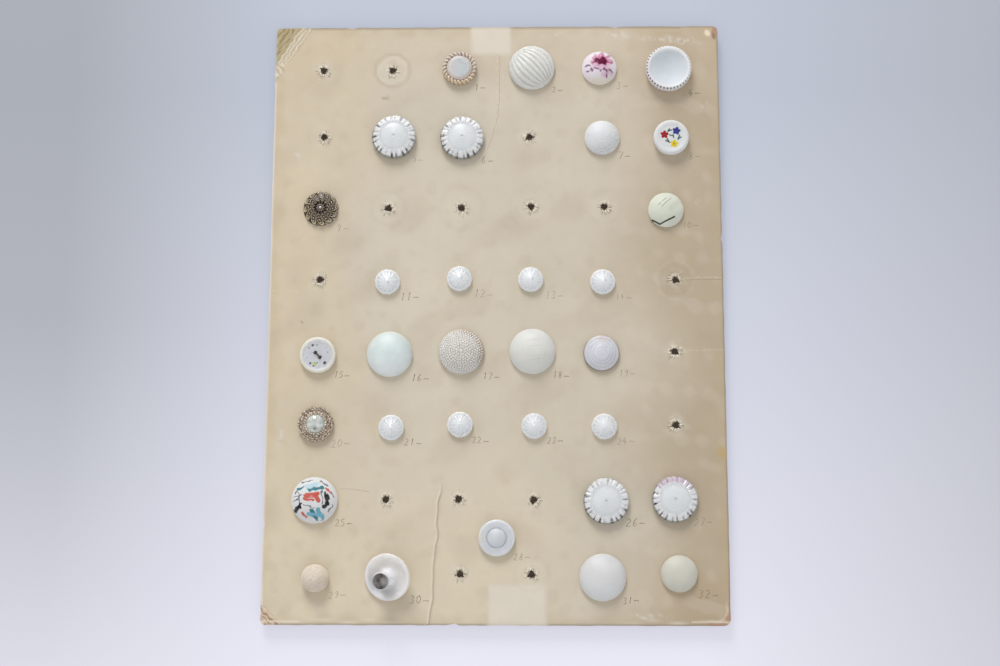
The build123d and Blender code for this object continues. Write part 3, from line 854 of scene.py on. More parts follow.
def two_hole():
    """Sew-through button with a sunken, spotted middle."""
    node = "two_hole_button"
    radius = node_radius(node)
    turn = math.radians(-45)
    holes = [at_angle(0, 0, side * 1.7, turn) for side in (1, -1)]
    dots = [
        ((-2.6, 4.9), 0.85, BLACK), ((-0.4, 5.0), 0.7, (0.40, 0.41, 0.40)),
        ((-4.4, 3.5), 0.5, (0.15, 0.15, 0.15)), ((3.6, -4.0), 1.05, BLACK),
        ((-1.4, -4.6), 1.35, (0.52, 0.62, 0.16)), ((-3.6, -4.2), 0.75, BLACK),
        ((-2.0, -5.6), 0.55, BLACK), ((-0.2, -4.0), 0.45, BLACK), ((5.0, 1.4), 0.45, (0.2, 0.2, 0.2)),
        ((4.2, 3.4), 0.35, (0.35, 0.4, 0.3)), ((-5.2, -1.4), 0.4, (0.3, 0.32, 0.28)),
        ((0.9, -5.9), 0.4, (0.5, 0.55, 0.2)),
    ]

    def height(x, y):
        r = np.hypot(x, y)
        rim = 3.0 - 0.55 * np.clip((r - 8.0) / 1.0, -1, 1) ** 2
        return np.where(r < 7.6, 2.2 + 0.7 * smooth(6.8, 7.7, r), rim)

    def tint(x, y):
        r = np.hypot(x, y)
        paint = Paint((0.72, 0.70, 0.62), r)
        paint.lay(smooth(7.5, 7.0, r), (0.72, 0.71, 0.76))
        for spot, size, colour in dots:
            paint.lay(0.9 * blob(x, y, spot, (size, size * 0.85), size, 0.35), colour)
        return paint

    points, faces, colours = relief_points(lambda angle: np.full_like(angle, radius), height, tint, 60, 190)
    x, y = node_middle(node)
    piece = add_mesh(node + "_glass", points, faces, satin, colours)
    for hole_x, hole_y in holes:
        spot = (hole_x * MM, hole_y * MM, 0)
        bpy.ops.mesh.primitive_cylinder_add(vertices=28, radius=0.9 * MM, depth=0.02, location=spot)
        drill = bpy.context.object
        cut = piece.modifiers.new("hole", "BOOLEAN")
        cut.object = drill
        bpy.context.view_layer.objects.active = piece
        bpy.ops.object.modifier_apply(modifier=cut.name)
        bpy.data.objects.remove(drill)
    piece.data.transform(Matrix.Translation((x * MM, y * MM, card_front * MM)))
    place_piece(piece, node, slot="painted_white_glass")


def plain_dome(node, colour, edge, material, slot, rise, speckle=0.0, low_side_light=0.0):
    """Smooth round button with the slight unevenness of old pressed glass."""
    radius = node_radius(node)

    def height(x, y):
        flaws = 0.05 * uneven(x, y, 9.0, node) * smooth(radius, radius * 0.7, np.hypot(x, y))
        return dome(x, y, radius, rise) + flaws

    def tint(x, y):
        paint = Paint(colour, x)
        paint.lay(speckle * smooth(0.2, 1.2, uneven(x, y, 0.9, node, 14)), (0.76, 0.78, 0.76))
        paint.lay(0.5 * smooth(radius - 2.0, radius, np.hypot(x, y)), edge)
        # Painted light: the side away from the window is painted lighter
        return paint.lay(low_side_light * smooth(0.2 * radius, -0.9 * radius, y), (0.92, 0.97, 0.97))

    button(node, height, tint, material, 40, 144, slot=slot)


def bead_rows(x, y, rows, pitch, size):
    """1 on the tops of round beads set in rings, falling to 0 between them."""
    r, a = polar(x, y)
    total = np.zeros_like(r)
    for index, row in enumerate(rows):
        count = round(TURN * row / pitch)
        along = (a * count / TURN + 0.5 * index) % 1 - 0.5
        gap = np.hypot(along * TURN * row / count, r - row)
        total = np.maximum(total, bulge(gap, size))
    return total


def beaded_dome():
    """Dome covered with rings of small beads."""
    node = "beaded_dome_button"
    radius = node_radius(node)

    def beads(x, y):
        inner = bead_rows(x, y, [2.2, 3.4, 4.6, 5.8], 1.35, 0.56)
        outer = bead_rows(x, y, [7.1, 8.2, 9.3, 10.4], 1.3, 0.54)
        return np.maximum(np.maximum(inner, outer), bulge(np.hypot(x, y), 0.8))

    def height(x, y):
        r = np.hypot(x, y)
        relief = 0.36 * np.sqrt(beads(x, y))
        return crown(r, radius, edge_height, 4.6) + relief + 0.2 * ridge(r - 1.25, 0.2)

    def tint(x, y):
        r, a = polar(x, y)
        bead = beads(x, y)
        # Painted shade: the ground between the beads is darker than their tops
        paint = Paint((0.62, 0.58, 0.53), r)
        paint.lay(smooth(0.1, 0.7, bead), (0.76, 0.75, 0.73))
        lace = smooth(8.2, 9.6, r) * smooth(1.5, 0.8, np.abs(a - 0.6))
        paint.lay(0.55 * lace * smooth(0.6, 0.1, bead), (0.30, 0.17, 0.10), 0.1)
        return paint.lay(0.3 * smooth(10.6, 11.2, r), (0.50, 0.44, 0.32))

    button(node, height, tint, satin, 88, 352, slot="cream_glass")


def woven_dome():
    """Cream dome with shallow crossed strokes."""
    node = "woven_dome_button"
    radius = node_radius(node)
    strokes = [
        ((-2.5, 1.7), (4.5, 2.2)), ((-3.5, -3.2), (7.5, -2.4)), ((-1.0, -5.0), (5.5, -4.2)),
        ((-1.8, 4.9), (4.0, 5.6)), ((2.4, -6.4), (2.8, -3.4)), ((5.8, -3.6), (6.6, -0.6)),
        ((-5.2, -1.0), (-4.6, 2.4)),
    ]

    def marks(x, y):
        """1 in the middle of the strokes."""
        total = np.zeros_like(x)
        for start, end in strokes:
            total = np.maximum(total, stripe(x, y, start, end, 0.55, 1.0))
        return total

    def height(x, y):
        return dome(x, y, radius, 4.8) - 0.09 * marks(x, y) + 0.04 * uneven(x, y, 8, 3)

    def tint(x, y):
        paint = Paint((0.74, 0.73, 0.69), x)
        paint.lay(0.35 * blob(x, y, (3, 6), (5, 4), 0.3, 1.0), (0.72, 0.64, 0.65))
        return paint.lay(0.22 * marks(x, y), (0.40, 0.38, 0.32))

    button(node, height, tint, satin, 56, 176, slot="cream_glass")


def terraced():
    """Round steps up to a low top, with a dark line round the rim."""
    node = "terraced_button"
    radius = node_radius(node)
    step_width = 1.5

    def height(x, y):
        r = np.hypot(x, y)
        level = (radius - r) / step_width
        step = np.floor(level) + smooth(0.0, 0.75, level - np.floor(level))
        return 1.4 + 0.8 * np.minimum(step, 4.0) + 0.35 * smooth(2.6, 0.0, r)

    def tint(x, y):
        r = np.hypot(x, y)
        level = (radius - r) / step_width
        riser = smooth(0.30, 0.05, np.abs(level - np.floor(level) - 0.15))
        paint = Paint((0.68, 0.68, 0.73), r)
        # Painted shade on the risers of the steps
        paint.lay(0.14 * riser, (0.45, 0.46, 0.52))
        paint.lay(0.45 * blob(x, y, (0.5, 7.4), (6, 2.4), 0, 1.0), (0.66, 0.42, 0.38))
        rim = smooth(radius - 0.45, radius - 0.1, r) * (1 - 0.7 * smooth(4, 8, y))
        return paint.lay(0.9 * rim, (0.16, 0.08, 0.05), 0.2)

    button(node, height, tint, polished, 64, 144, slot="white_glass")


def filigree():
    """Gilt lace that holds the cut glass."""
    node = "filigree_button_setting"
    radius = node_radius(node)
    scallops = 18
    lace_rows, bead_pitch, bead_size = [5.1, 6.2, 7.3, 8.4], 1.15, 0.56
    looseness = 0.28

    def loosened(x, y):
        """Points shifted a little, so that the rows of lace are not too even."""
        return x + looseness * uneven(x, y, 2.4, 12), y + looseness * uneven(x, y, 2.4, 13)

    def height(x, y):
        r = np.hypot(x, y)
        beads = bead_rows(*loosened(x, y), lace_rows[1:], bead_pitch, bead_size)
        flange = 2.0 + 0.5 * np.sqrt(beads) - 0.35 * smooth(7.9, 8.9, r)
        claws = 3.0 + 0.4 * np.sqrt(bead_rows(*loosened(x, y), lace_rows[:1], bead_pitch, bead_size))
        level = claws + (flange - claws) * smooth(5.5, 6.1, r)
        return np.where(r < 4.5, 2.6, level)

    def tint(x, y):
        r = np.hypot(x, y)
        beads = bead_rows(*loosened(x, y), lace_rows, bead_pitch, bead_size)
        patches = uneven(x, y, 1.3, 11)
        paint = Paint((0.30, 0.22, 0.15), r)
        paint.lay(smooth(0.1, 0.5, beads), (0.60, 0.49, 0.35), 0.15)
        paint.lay(0.9 * smooth(0.2, 0.6, beads) * smooth(-0.3, 0.3, patches), (0.88, 0.80, 0.74), 0.0)
        paint.lay(0.7 * smooth(5.0, 4.6, r), (0.70, 0.66, 0.60))
        hollows = 0.8 * smooth(0.4, 1.0, -uneven(x, y, 1.7, 14)) * smooth(4.8, 5.2, r)
        return paint.lay(hollows, (0.16, 0.10, 0.07), 0.1)

    def outline(angle):
        return radius - 0.3 + 0.3 * np.abs(np.cos(scallops / 2 * angle))

    button(node, height, tint, gilt, 72, 324, outline, slot="lace_metal")


def crystal():
    """Cut glass with tiers of facets over a flat back, and a darker spot in it."""
    node = "filigree_button_crystal"
    x, y = node_middle(node)
    low, high = (corner.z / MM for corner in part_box(node))
    sides = 16
    # Radius and height of each tier, and how many facets it is turned by
    tiers = [
        (4.5, low, 0.0), (4.55, low + 1.2, 0.0), (3.9, high - 0.75, 0.5), (2.5, high - 0.15, 0.0),
        (1.9, high, 0.5),
    ]
    points = [(0, 0, low)]
    for tier_radius, level, shift in tiers:
        for side in range(sides):
            a = (side + shift) * TURN / sides
            points.append((*at_angle(0, 0, tier_radius, a), level))
    points.append((0, 0, high))
    faces = [(0, 1 + (s + 1) % sides, 1 + s) for s in range(sides)]
    for tier in range(len(tiers) - 1):
        lower = 1 + tier * sides
        upper = lower + sides
        step = tiers[tier + 1][2] - tiers[tier][2]
        for s in range(sides):
            n = (s + 1) % sides
            if step > 0:
                faces += [(lower + s, lower + n, upper + s), (lower + n, upper + n, upper + s)]
            elif step < 0:
                faces += [(lower + s, upper + n, upper + s), (lower + s, lower + n, upper + n)]
            else:
                faces.append((lower + s, lower + n, upper + n, upper + s))
    top = len(points) - 1
    last = top - sides
    faces += [(top, last + s, last + (s + 1) % sides) for s in range(sides)]
    points = np.array(points) + [x, y, 0]
    dark = blob(points[:, 0], points[:, 1], (x + 0.2, y - 2.6), (1.3, 1.1), 0, 0.8)
    patchy = 0.5 + 0.5 * uneven(points[:, 0], points[:, 1], 2.4, 91)
    paint = Paint((0.44, 0.50, 0.46), dark)
    paint.lay(patchy, (0.76, 0.74, 0.70))
    paint.lay(dark, (0.12, 0.11, 0.12), 0.1)
    piece = add_mesh("cut_crystal", points, faces, cut_glass, paint.values, crease=5)
    place_piece(piece, node, slot="clear_crystal")


def brushwork():
    """White dome with loose dabs of paint."""
    node = "brushwork_button"
    radius = node_radius(node)
    coral, teal, blue, hair = (0.60, 0.11, 0.08), (0.02, 0.20, 0.24), (0.22, 0.48, 0.62), (0.20, 0.20, 0.24)
    # Loose dabs of its own, in the colours of the old paint: start, end, width, colour
    dabs = [
        ((-3.6, 6.4), (1.4, 8.0), 3.0, (0.50, 0.66, 0.74)), ((-2.0, 5.0), (4.2, 6.0), 2.0, teal),
        ((-3.6, 2.2), (2.2, 3.0), 2.8, coral), ((-4.6, 0.4), (0.0, 0.0), 2.0, coral),
        ((1.4, 2.4), (2.6, -0.6), 2.4, coral), ((-9.2, -5.2), (-7.0, -3.4), 2.3, BLACK),
        ((-7.0, -3.4), (-6.4, -1.4), 1.7, BLACK), ((6.4, 2.0), (7.0, -1.2), 2.6, BLACK),
        ((7.0, -1.2), (5.2, -3.6), 2.2, BLACK), ((5.6, 3.6), (6.2, 2.0), 1.2, BLACK),
        ((-0.8, -5.2), (1.4, -8.8), 2.6, teal), ((2.4, -5.0), (4.4, -8.6), 2.6, (0.16, 0.42, 0.50)),
        ((-2.6, -6.8), (4.6, -7.4), 1.8, blue), ((-7.4, 5.0), (-5.2, 6.6), 1.4, teal),
        ((5.8, 6.0), (8.2, 3.6), 1.3, coral), ((-5.4, -6.2), (-3.4, -8.4), 1.5, coral),
        ((-9.4, 1.6), (-5.6, 2.6), 0.7, hair), ((-8.0, 3.8), (-6.6, -0.6), 0.7, hair),
        ((-5.6, 8.4), (-0.8, 9.8), 0.6, hair), ((2.8, 9.2), (6.6, 7.2), 0.7, hair),
        ((-4.8, -2.2), (0.4, -3.6), 0.7, hair), ((7.4, -5.6), (9.2, -2.6), 0.7, hair),
        ((3.8, 5.0), (4.8, -1.6), 0.6, hair), ((-10.0, -0.6), (-7.6, 0.4), 0.7, BLACK),
        ((-9.4, 3.2), (-7.8, 5.2), 0.6, BLACK), ((8.8, 4.4), (9.8, 1.2), 0.7, BLACK),
    ]

    def tint(x, y):
        paint = Paint((0.76, 0.75, 0.75), x)
        roughness = 0.3
        rough_x = x + roughness * uneven(x, y, 2.6, 5)
        rough_y = y + roughness * uneven(x, y, 2.6, 6)
        for start, end, width, colour in dabs:
            paint.lay(0.96 * stripe(rough_x, rough_y, start, end, width, 0.35), colour)
        return paint

    def height(x, y):
        return dome(x, y, radius, 4.8)

    button(node, height, tint, enamelled, 80, 240, slot="painted_white_glass")


def raised_eye():
    """Disc with a low dome in its middle, inside a fine groove."""
    node = "raised_eye_button"
    disc_height = 2.6
    dome_radius = 4.7
    groove = 4.8

    def height(x, y):
        r = np.hypot(x, y)
        disc = disc_height - 0.35 * smooth(7.6, 8.9, r) ** 2
        dome = crown(r, dome_radius, disc_height, 1.5)
        return np.where(r < dome_radius, dome, disc) - 0.25 * ridge(r - groove, 0.25)

    def tint(x, y):
        r = np.hypot(x, y)
        paint = Paint((0.68, 0.70, 0.74), r)
        paint.lay(0.55 * ridge(r - groove, 0.22), (0.36, 0.39, 0.44))
        paint.lay(0.5 * smooth(5.0, 2.0, r), (0.66, 0.67, 0.68))
        return paint.lay(0.5 * blob(x, y, (-7.2, 0.6), (3.0, 5.0), 0, 1.0), (0.72, 0.66, 0.52))

    button(node, height, tint, polished, 60, 128, slot="white_glass")


def knotted_ball():
    """Little ball that looks wound with thread."""
    node = "knotted_ball_button"
    radius = node_radius(node)

    def threads(x, y):
        """1 on the tops of crossed threads that run a little askew."""
        along, askew = 0.94, 0.34
        bend_x = x + 0.8 * uneven(x, y, 7, 21)
        bend_y = y + 0.8 * uneven(x, y, 7, 22)
        warp = np.cos((bend_x * along + bend_y * askew) * TURN / 1.15)
        weft = np.cos((bend_y * along - bend_x * askew) * TURN / 1.3)
        return np.maximum(warp * smooth(-0.8, 0.6, weft), 0.8 * weft)

    def height(x, y):
        r = np.hypot(x, y)
        relief = 0.10 * threads(x, y) + 0.10 * uneven(x, y, 3, 23)
        return crown(r, radius, 2.8, 4.6) + relief * smooth(radius, radius - 1, r)

    def tint(x, y):
        paint = Paint((0.72, 0.62, 0.52), x)
        # Painted shade between the threads, and painted highlights on their tops
        paint.lay(0.5 * smooth(0.2, -0.8, threads(x, y)), (0.54, 0.43, 0.33))
        paint.lay(0.45 * smooth(0.1, 0.9, threads(x, y)), (0.76, 0.68, 0.57))
        return paint.lay(0.4 * smooth(1, 6, x) * smooth(0.2, 1, uneven(x, y, 2.5, 24)), (0.74, 0.66, 0.40))

    under = [(0.0, 0.85), (0.5, 0.55), (1.3, 0.25), (2.3, 0.0)]
    button(node, height, tint, thready, 56, 190, slot="cream_glass", under=under)


def leaning_hole():
    """Where the leaning shank of the mirror's post passes through the card's face."""
    pin_x, pin_y, _ = pin_near(*node_middle("mirror_post_button"))
    back_off = (card_front - pin_level + eye_drop) * math.sin(saucer_lean)
    return at_angle(pin_x, pin_y, back_off, saucer_heading)


def mirror_post():
    """Leaning saucer with a post in its middle, turned from an outline in radius and height."""
    node = "mirror_post_button"
    rise = math.tan(saucer_lean)
    radius = 11.6
    rim = radius * rise
    top = post_height
    under_side = [
        (0.0, 0.0), (4.0, 4.0 * rise), (8.0, 8.0 * rise), (radius - 0.2, rim - 0.2 * rise),
        (radius, rim + 0.25),
    ]
    lip = [
        (radius, rim + 0.9), (radius - 0.25, rim + 1.4), (radius - 0.8, rim + 1.65),
        (radius - 1.5, rim + 1.4),
    ]
    bowl = [
        (9.2, rim + 0.35), (8.2, rim - 0.15), (7.0, rim - 0.5), (5.9, rim - 0.65), (5.2, rim - 0.55),
        (4.5, rim),
    ]
    post = [(3.9, 4.8), (3.45, 6.4), (3.2, 8.4), (3.2, 10.4), (3.4, 11.8), (3.8, 12.7), (4.2, 13.2)]
    head = [
        (4.35, top - 0.7), (4.3, top - 0.25), (4.05, top), (3.9, top - 0.05), (3.9, top - 0.35),
        (0.0, top - 0.35),
    ]
    profile = under_side + lip + bowl + post + head
    spokes = 144
    angle = np.linspace(0, TURN, spokes, endpoint=False)
    points = [[[0, 0, profile[0][1]]]]
    for r, z in profile[1:-1]:
        points.append(np.stack([r * np.cos(angle), r * np.sin(angle), np.full(spokes, z)], -1))
    points.append([[0, 0, profile[-1][1]]])
    points = np.vstack(points)
    faces = ring_faces(len(profile) - 2, spokes, 0, 1)
    faces = [face[::-1] for face in faces]
    top = len(points) - 1
    last = top - spokes
    faces += [(top, last + s, last + (s + 1) % spokes) for s in range(spokes)]
    r = np.hypot(points[:, 0], points[:, 1])
    paint = Paint((0.84, 0.83, 0.85), r)
    paint.lay(0.7 * smooth(10.6, 11.3, r) * (points[:, 2] > rim), (0.72, 0.62, 0.58))
    shank = (turned_points(SLIM_SHANK[0], math.pi / 2), SLIM_SHANK[1])
    points, faces, colours = joined((points, faces, paint.values), shank, (0.66, 0.66, 0.71))
    lean = np.array(Matrix.Rotation(saucer_heading, 3, "Z") @ Matrix.Rotation(saucer_lean, 3, "Y"))
    points = points @ lean.T + [*leaning_hole(), card_front]
    piece = add_mesh(node + "_glass", points, faces, polished, colours, crease=60)
    place_piece(piece, node, slot="white_glass")


# The card


def hole_places():
    """Middle and radius of each hole, and whether it is empty."""
    mounts = [[value / MM for value in mount["pos_m"][:2]] for mount in frame["record"]["mounts"]]
    empty = [(x, y, empty_hole_radius, True) for x, y in mounts]
    used = []
    for node in frame["nodes"]:
        if not node.endswith("button") and "_button_" not in node and node != "filigree_button_setting":
            continue
        if node in ("two_hole_button_wire", "filigree_button_crystal", "mirror_post_button"):
            continue
        if node == "two_hole_button":
            used.append((*node_middle(node), used_hole_radius, False))
        else:
            used.append((*pin_near(*node_middle(node))[:2], used_hole_radius, False))
    used.append((*leaning_hole(), leaning_hole_radius, False))
    return empty + used


HOLES = hole_places()


def edge_distance(x, y):
    """How far a point of the card is from its nearest edge."""
    return np.minimum(half_width - np.abs(x), half_length - np.abs(y))


def past_bend(x, y):
    """How far a point is beyond the line that the top-left corner is bent along."""
    return -x * 0.83 + y * 0.55 - 167.0


def card_outline():
    """Points round the card: worn corners and small nicks."""
    corners = [(1, 1, 2.6), (-1, 1, 2.2), (-1, -1, 2.6), (1, -1, 3.2)]
    spots = []
    for (sx, sy, worn), start in zip(corners, (0, 90, 180, 270)):
        for step in range(9):
            a = math.radians(start + step * 90 / 8)
            spots.append(at_angle(sx * (half_width - worn), sy * (half_length - worn), worn, a))
    loop = []
    nicks = [
        (-half_width, -104.0), (61.0, half_length), (-75.0, half_length), (half_width, 40.0),
        (-20.0, -half_length),
    ]
    for (ax, ay), (bx, by) in zip(spots, spots[1:] + spots[:1]):
        steps = max(1, round(math.hypot(bx - ax, by - ay) / 2.0))
        for step in range(steps):
            x = ax + (bx - ax) * step / steps
            y = ay + (by - ay) * step / steps
            inset = 0.10 + 0.10 * float(uneven(x, y, 14.0, 31))
            for nx, ny in nicks:
                inset += 0.9 * math.exp(-(((x - nx) ** 2 + (y - ny) ** 2) / 2.2))
            loop.append((x - math.copysign(max(inset, 0), x) * (abs(x) > half_width - 3.3),
                         y - math.copysign(max(inset, 0), y) * (abs(y) > half_length - 3.3)))
    return loop


def hole_outline(x, y, radius, empty, seed):
    """Points round a hole; an empty one is torn and a little drawn out to its sides."""
    draw = random.Random(seed)
    count = 48 if empty else 24
    # Heading, length and width of each tear: one to either side, and three small ones anywhere
    tears = []
    for side in range(2):
        heading = draw.gauss(0, 0.45) + math.pi * side
        tears.append((heading, draw.uniform(0.5, 1.5), draw.uniform(0.14, 0.3)))
    tears += [(draw.uniform(0, TURN), draw.uniform(0.2, 1.0), draw.uniform(0.1, 0.25)) for _ in range(3)]
    loop = []
    for step in range(count):
        a = -step * TURN / count
        rough = radius
        if empty:
            rough = radius * (0.9 + 0.12 * math.sin(3 * a + seed) + draw.uniform(-0.09, 0.09))
            for heading, length, width in tears:
                away = math.remainder(a - heading, TURN)
                rough += length * math.exp(-((away / width) ** 2))
        loop.append(at_angle(x, y, rough, a))
    return loop


def card_height(x, y):
    """How far the card's face stands above or below its flat level."""
    z = 0.05 * uneven(x, y, 60, 41) + 0.03 * uneven(x, y, 14, 42)
    for seed, (hx, hy, radius, empty) in enumerate(HOLES):
        if not empty:
            continue
        r = np.hypot(x - hx, y - hy)
        a = np.arctan2(y - hy, x - hx)
        tear = 0.5 + 0.5 * np.sin(5 * a + seed) * np.cos(3 * a + 2 * seed)
        z = z + (0.15 + 0.5 * tear) * smooth(radius + 1.8, radius * 0.9, r)
        z = z - ring_strength(seed) * 0.25 * ridge(r - ring_radius(seed), 1.6)
    # The bent top-left corner, and the bruised top-right and bottom-left ones
    z = z - 0.35 * smooth(0.0, 9.0, past_bend(x, y))
    for side, drop, size, seed in ((1, 0.4, 3, 43), (-1, 0.5, 2, 44)):
        bruise = smooth(8.0, 1.0, np.hypot(x - side * half_width, y - side * half_length))
        z = z - drop * bruise * (0.5 + 0.5 * uneven(x, y, size, seed))
    z = z + 0.4 * fold(x, y)
    edge = edge_distance(x, y)
    return z - 0.18 * smooth(0.7, 0.0, edge)


def ring_radius(seed):
    """Size of the ring that a lost button has pressed round its hole."""
    return random.Random(seed).choice([8.4, 8.6, 8.4, 6.2, 11.0])


def ring_strength(seed):
    """How clear that ring is."""
    return 0.4 if seed == 1 else max(0, random.Random(seed + 99).uniform(-0.1, 0.1))


def fold_line(y):
    """Where the long fold runs."""
    return -27.3 + 0.068 * (y + 82) + 0.4 * uneven(y * 0, y, 16, 45)


def fold(x, y):
    """1 on the crest of the long fold at the foot of the card."""
    return ridge(x - fold_line(y), 0.42) * smooth(-80, -92, y)


def card_paint(x, y):
    """Colour of the card's face: yellower to the left, greyer in the middle, browner to the right."""
    left, middle, right = (0.680, 0.572, 0.418), (0.645, 0.568, 0.456), (0.500, 0.404, 0.288)
    drift = 12 * uneven(x, y, 80, 50)
    paint = Paint(middle, x)
    paint.lay(smooth(-45, -105, x + drift), left)
    paint.lay(0.75 * blob(x, y, (-30, -10), (55, 110), 0, 1.0), (0.715, 0.632, 0.51))
    paint.lay(smooth(45, 108, x + drift), right)
    paint.lay(0.35 * smooth(110, 150, y), (0.66, 0.53, 0.38))
    paint.lay(0.75 * smooth(-40, -120, y) * smooth(60, 0, x), (0.74, 0.64, 0.48))
    paint.lay(0.4 * smooth(-100, -140, y) * smooth(40, 90, x), (0.48, 0.355, 0.225))
    paint.lay(0.35 * smooth(60, 140, y) * smooth(-40, -100, x), (0.58, 0.48, 0.34))
    paint.lay(0.30 * smooth(0.1, 1.2, uneven(x, y, 34, 51)), (0.54, 0.45, 0.34))
    paint.lay(0.22 * smooth(0.2, 1.2, uneven(x, y, 15, 53)), (0.68, 0.60, 0.49))
    streaks = uneven(x * 0.25, y, 5, 54) * uneven(x, y * 0.3, 12, 55)
    paint.lay(0.16 * smooth(0.2, 1.0, streaks), (0.50, 0.41, 0.30))
    edge = edge_distance(x, y)
    rough = edge + 2.2 * uneven(x, y, 16, 52)
    paint.lay(0.28 * smooth(7, 0, rough), (0.52, 0.40, 0.24))
    # Painted shade: a thin dark line along the top, right and bottom edges
    paint.lay(0.7 * smooth(1.2, 0.2, edge) * smooth(-half_width + 3, -half_width + 4, x), (0.24, 0.19, 0.14))
    # Painted light: a thin pale line along the left edge
    return paint.lay(0.8 * smooth(1.3, 0.5, x + half_width), (0.82, 0.75, 0.66))


def tape_scars(x, y, paint):
    """Where strips of tape were pulled off at the head and the foot."""
    for left, right, low, high in ((-13.6, 8.1, 137.0, 153.0), (-3.9, 25.4, -153.0, -132.0)):
        within = np.minimum(np.minimum(x - left, right - x), np.minimum(y - low, high - y))
        inside = smooth(0, 0.9, within)
        paint.lay(0.75 * inside, (0.77, 0.70, 0.60))
        paint.lay(0.15 * (inside * smooth(2.2, 0.6, within)), (0.50, 0.40, 0.26))


def scuffs_and_spots(x, y, paint):
    """Rubbed patches and small stains."""
    wander = 0.7
    wander_x = x + wander * uneven(x, y, 7, 61)
    wander_y = y + wander * uneven(x, y, 7, 62)
    scuffs = [
        ((62, 147.5), (12, 2.6), -0.2), ((91, 145), (22, 2.2), -0.1), ((107, 109.5), (4, 1.2), 0.5),
        ((-101.5, 84), (3.2, 1.6), 0.3), ((-70, 149.5), (9, 1.4), 0.0), ((103, 60), (6, 1.0), 1.2),
        ((30, 148), (8, 1.2), 0.1), ((-107, -60), (1.6, 12), 0.0), ((74, -148), (16, 1.6), 0.05),
    ]
    for spot, radii, turn in scuffs:
        worn = blob(wander_x, wander_y, spot, radii, turn, 0.9) * smooth(-0.6, 0.5, uneven(x, y, 2.6, 63))
        paint.lay(0.6 * worn, (0.74, 0.70, 0.64))
    spots = [
        ((-57.3, 114.3), 1.0, (0.30, 0.21, 0.12)), ((-69.8, -75.1), 0.9, (0.38, 0.16, 0.10)),
        ((1.3, -68.6), 0.7, (0.28, 0.2, 0.13)), ((-1.0, -95.7), 0.6, (0.26, 0.2, 0.14)),
        ((30.8, -102.9), 0.8, (0.33, 0.25, 0.16)), ((112.0, -68.6), 4.5, (0.55, 0.38, 0.12)),
        ((71.0, 40.0), 0.5, (0.3, 0.22, 0.14)), ((-36.0, 42.0), 0.6, (0.34, 0.26, 0.17)),
        ((-98.0, -3.0), 0.6, (0.3, 0.22, 0.12)),
    ]
    for spot, size, colour in spots:
        paint.lay(0.55 * blob(wander_x, wander_y, spot, (size, size), 0, 0.8), colour)


def hole_marks(x, y, paint):
    """Faint rings and polished patches that buttons have left round their holes."""
    for seed, (hx, hy, radius, empty) in enumerate(HOLES):
        r = np.hypot(x - hx, y - hy)
        if empty:
            ring = ring_radius(seed) + 0.35 * uneven(x, y, 8, seed)
            strength = ring_strength(seed)
            paint.lay(strength * smooth(1.8, 0.2, np.abs(r - ring)), (0.46, 0.37, 0.26))
            paint.lay(strength * smooth(1.6, 0.1, np.abs(r - ring + 1.6)), (0.74, 0.67, 0.56))
            polish = 0.3 * smooth(8.5, 4.0, r) * smooth(-0.8, 0.8, uneven(x, y, 7, seed))
            paint.lay(polish, (0.74, 0.67, 0.56))
            smudge = smooth(0.1, 0.9, uneven(x, y, 3.0, seed + 7)) * smooth(5.5, 2.5, r)
            paint.lay(0.3 * smudge, (0.42, 0.34, 0.24))
            frayed = r + 0.5 * uneven(x, y, 1.6, seed + 40)
            paint.lay(0.85 * smooth(radius + 2.0, radius + 0.8, frayed), (0.76, 0.70, 0.58))
            # Painted shade: a dark brown edge at the mouth of each empty hole
            paint.lay(0.85 * smooth(radius + 0.6, radius, frayed), (0.19, 0.125, 0.075))
        else:
            paint.lay(0.10 * smooth(14.5, 9.0, r), (0.48, 0.40, 0.26))


def fold_and_disc(x, y, paint):
    """The fold, with a painted highlight along its crest and painted shade just to its right, and the disc
    that a button has left by the right edge.
    """
    # Painted highlight on the crest, then painted shade on its right side
    paint.lay(0.65 * fold(x + 0.2, y), (0.80, 0.73, 0.62))
    paint.lay(0.6 * fold(x - 0.7, y), (0.40, 0.32, 0.23))
    disc = np.hypot(x - 90.2, y - 18.5) + 0.4 * uneven(x, y, 6, 64)
    paint.lay(0.4 * smooth(8.9, 8.0, disc), (0.44, 0.36, 0.25))
    paint.lay(0.35 * smooth(0.8, 0.1, np.abs(disc - 9.6)), (0.62, 0.53, 0.40))


def split_corner(x, y, paint):
    """The corner at the top left: dark olive board, and creases that follow its edge, each a painted
    highlight beside painted shade.
    """
    tip = past_bend(x, y) + 0.5 * uneven(x, y, 6, 71)
    paint.lay(0.85 * smooth(-0.4, 0.8, tip), (0.40, 0.32, 0.17))
    layers = 0.5 + 0.5 * np.sin(tip * TURN / 2.6 + 0.6 * uneven(x, y, 5, 75))
    paint.lay(0.7 * smooth(0.5, 1.0, layers) * smooth(0.6, 2.0, tip), (0.20, 0.14, 0.06))
    paint.lay(0.5 * smooth(0.6, 0.1, layers) * smooth(0.6, 2.0, tip), (0.52, 0.44, 0.26))
    # Each crease: a painted highlight with painted shade just beside it
    for place in (-3.2, -1.5, 0.2):
        paint.lay(0.75 * smooth(0.55, 0.1, np.abs(tip - place)), (0.80, 0.73, 0.60))
        paint.lay(0.55 * smooth(0.5, 0.1, np.abs(tip - place + 0.8)), (0.38, 0.30, 0.18))


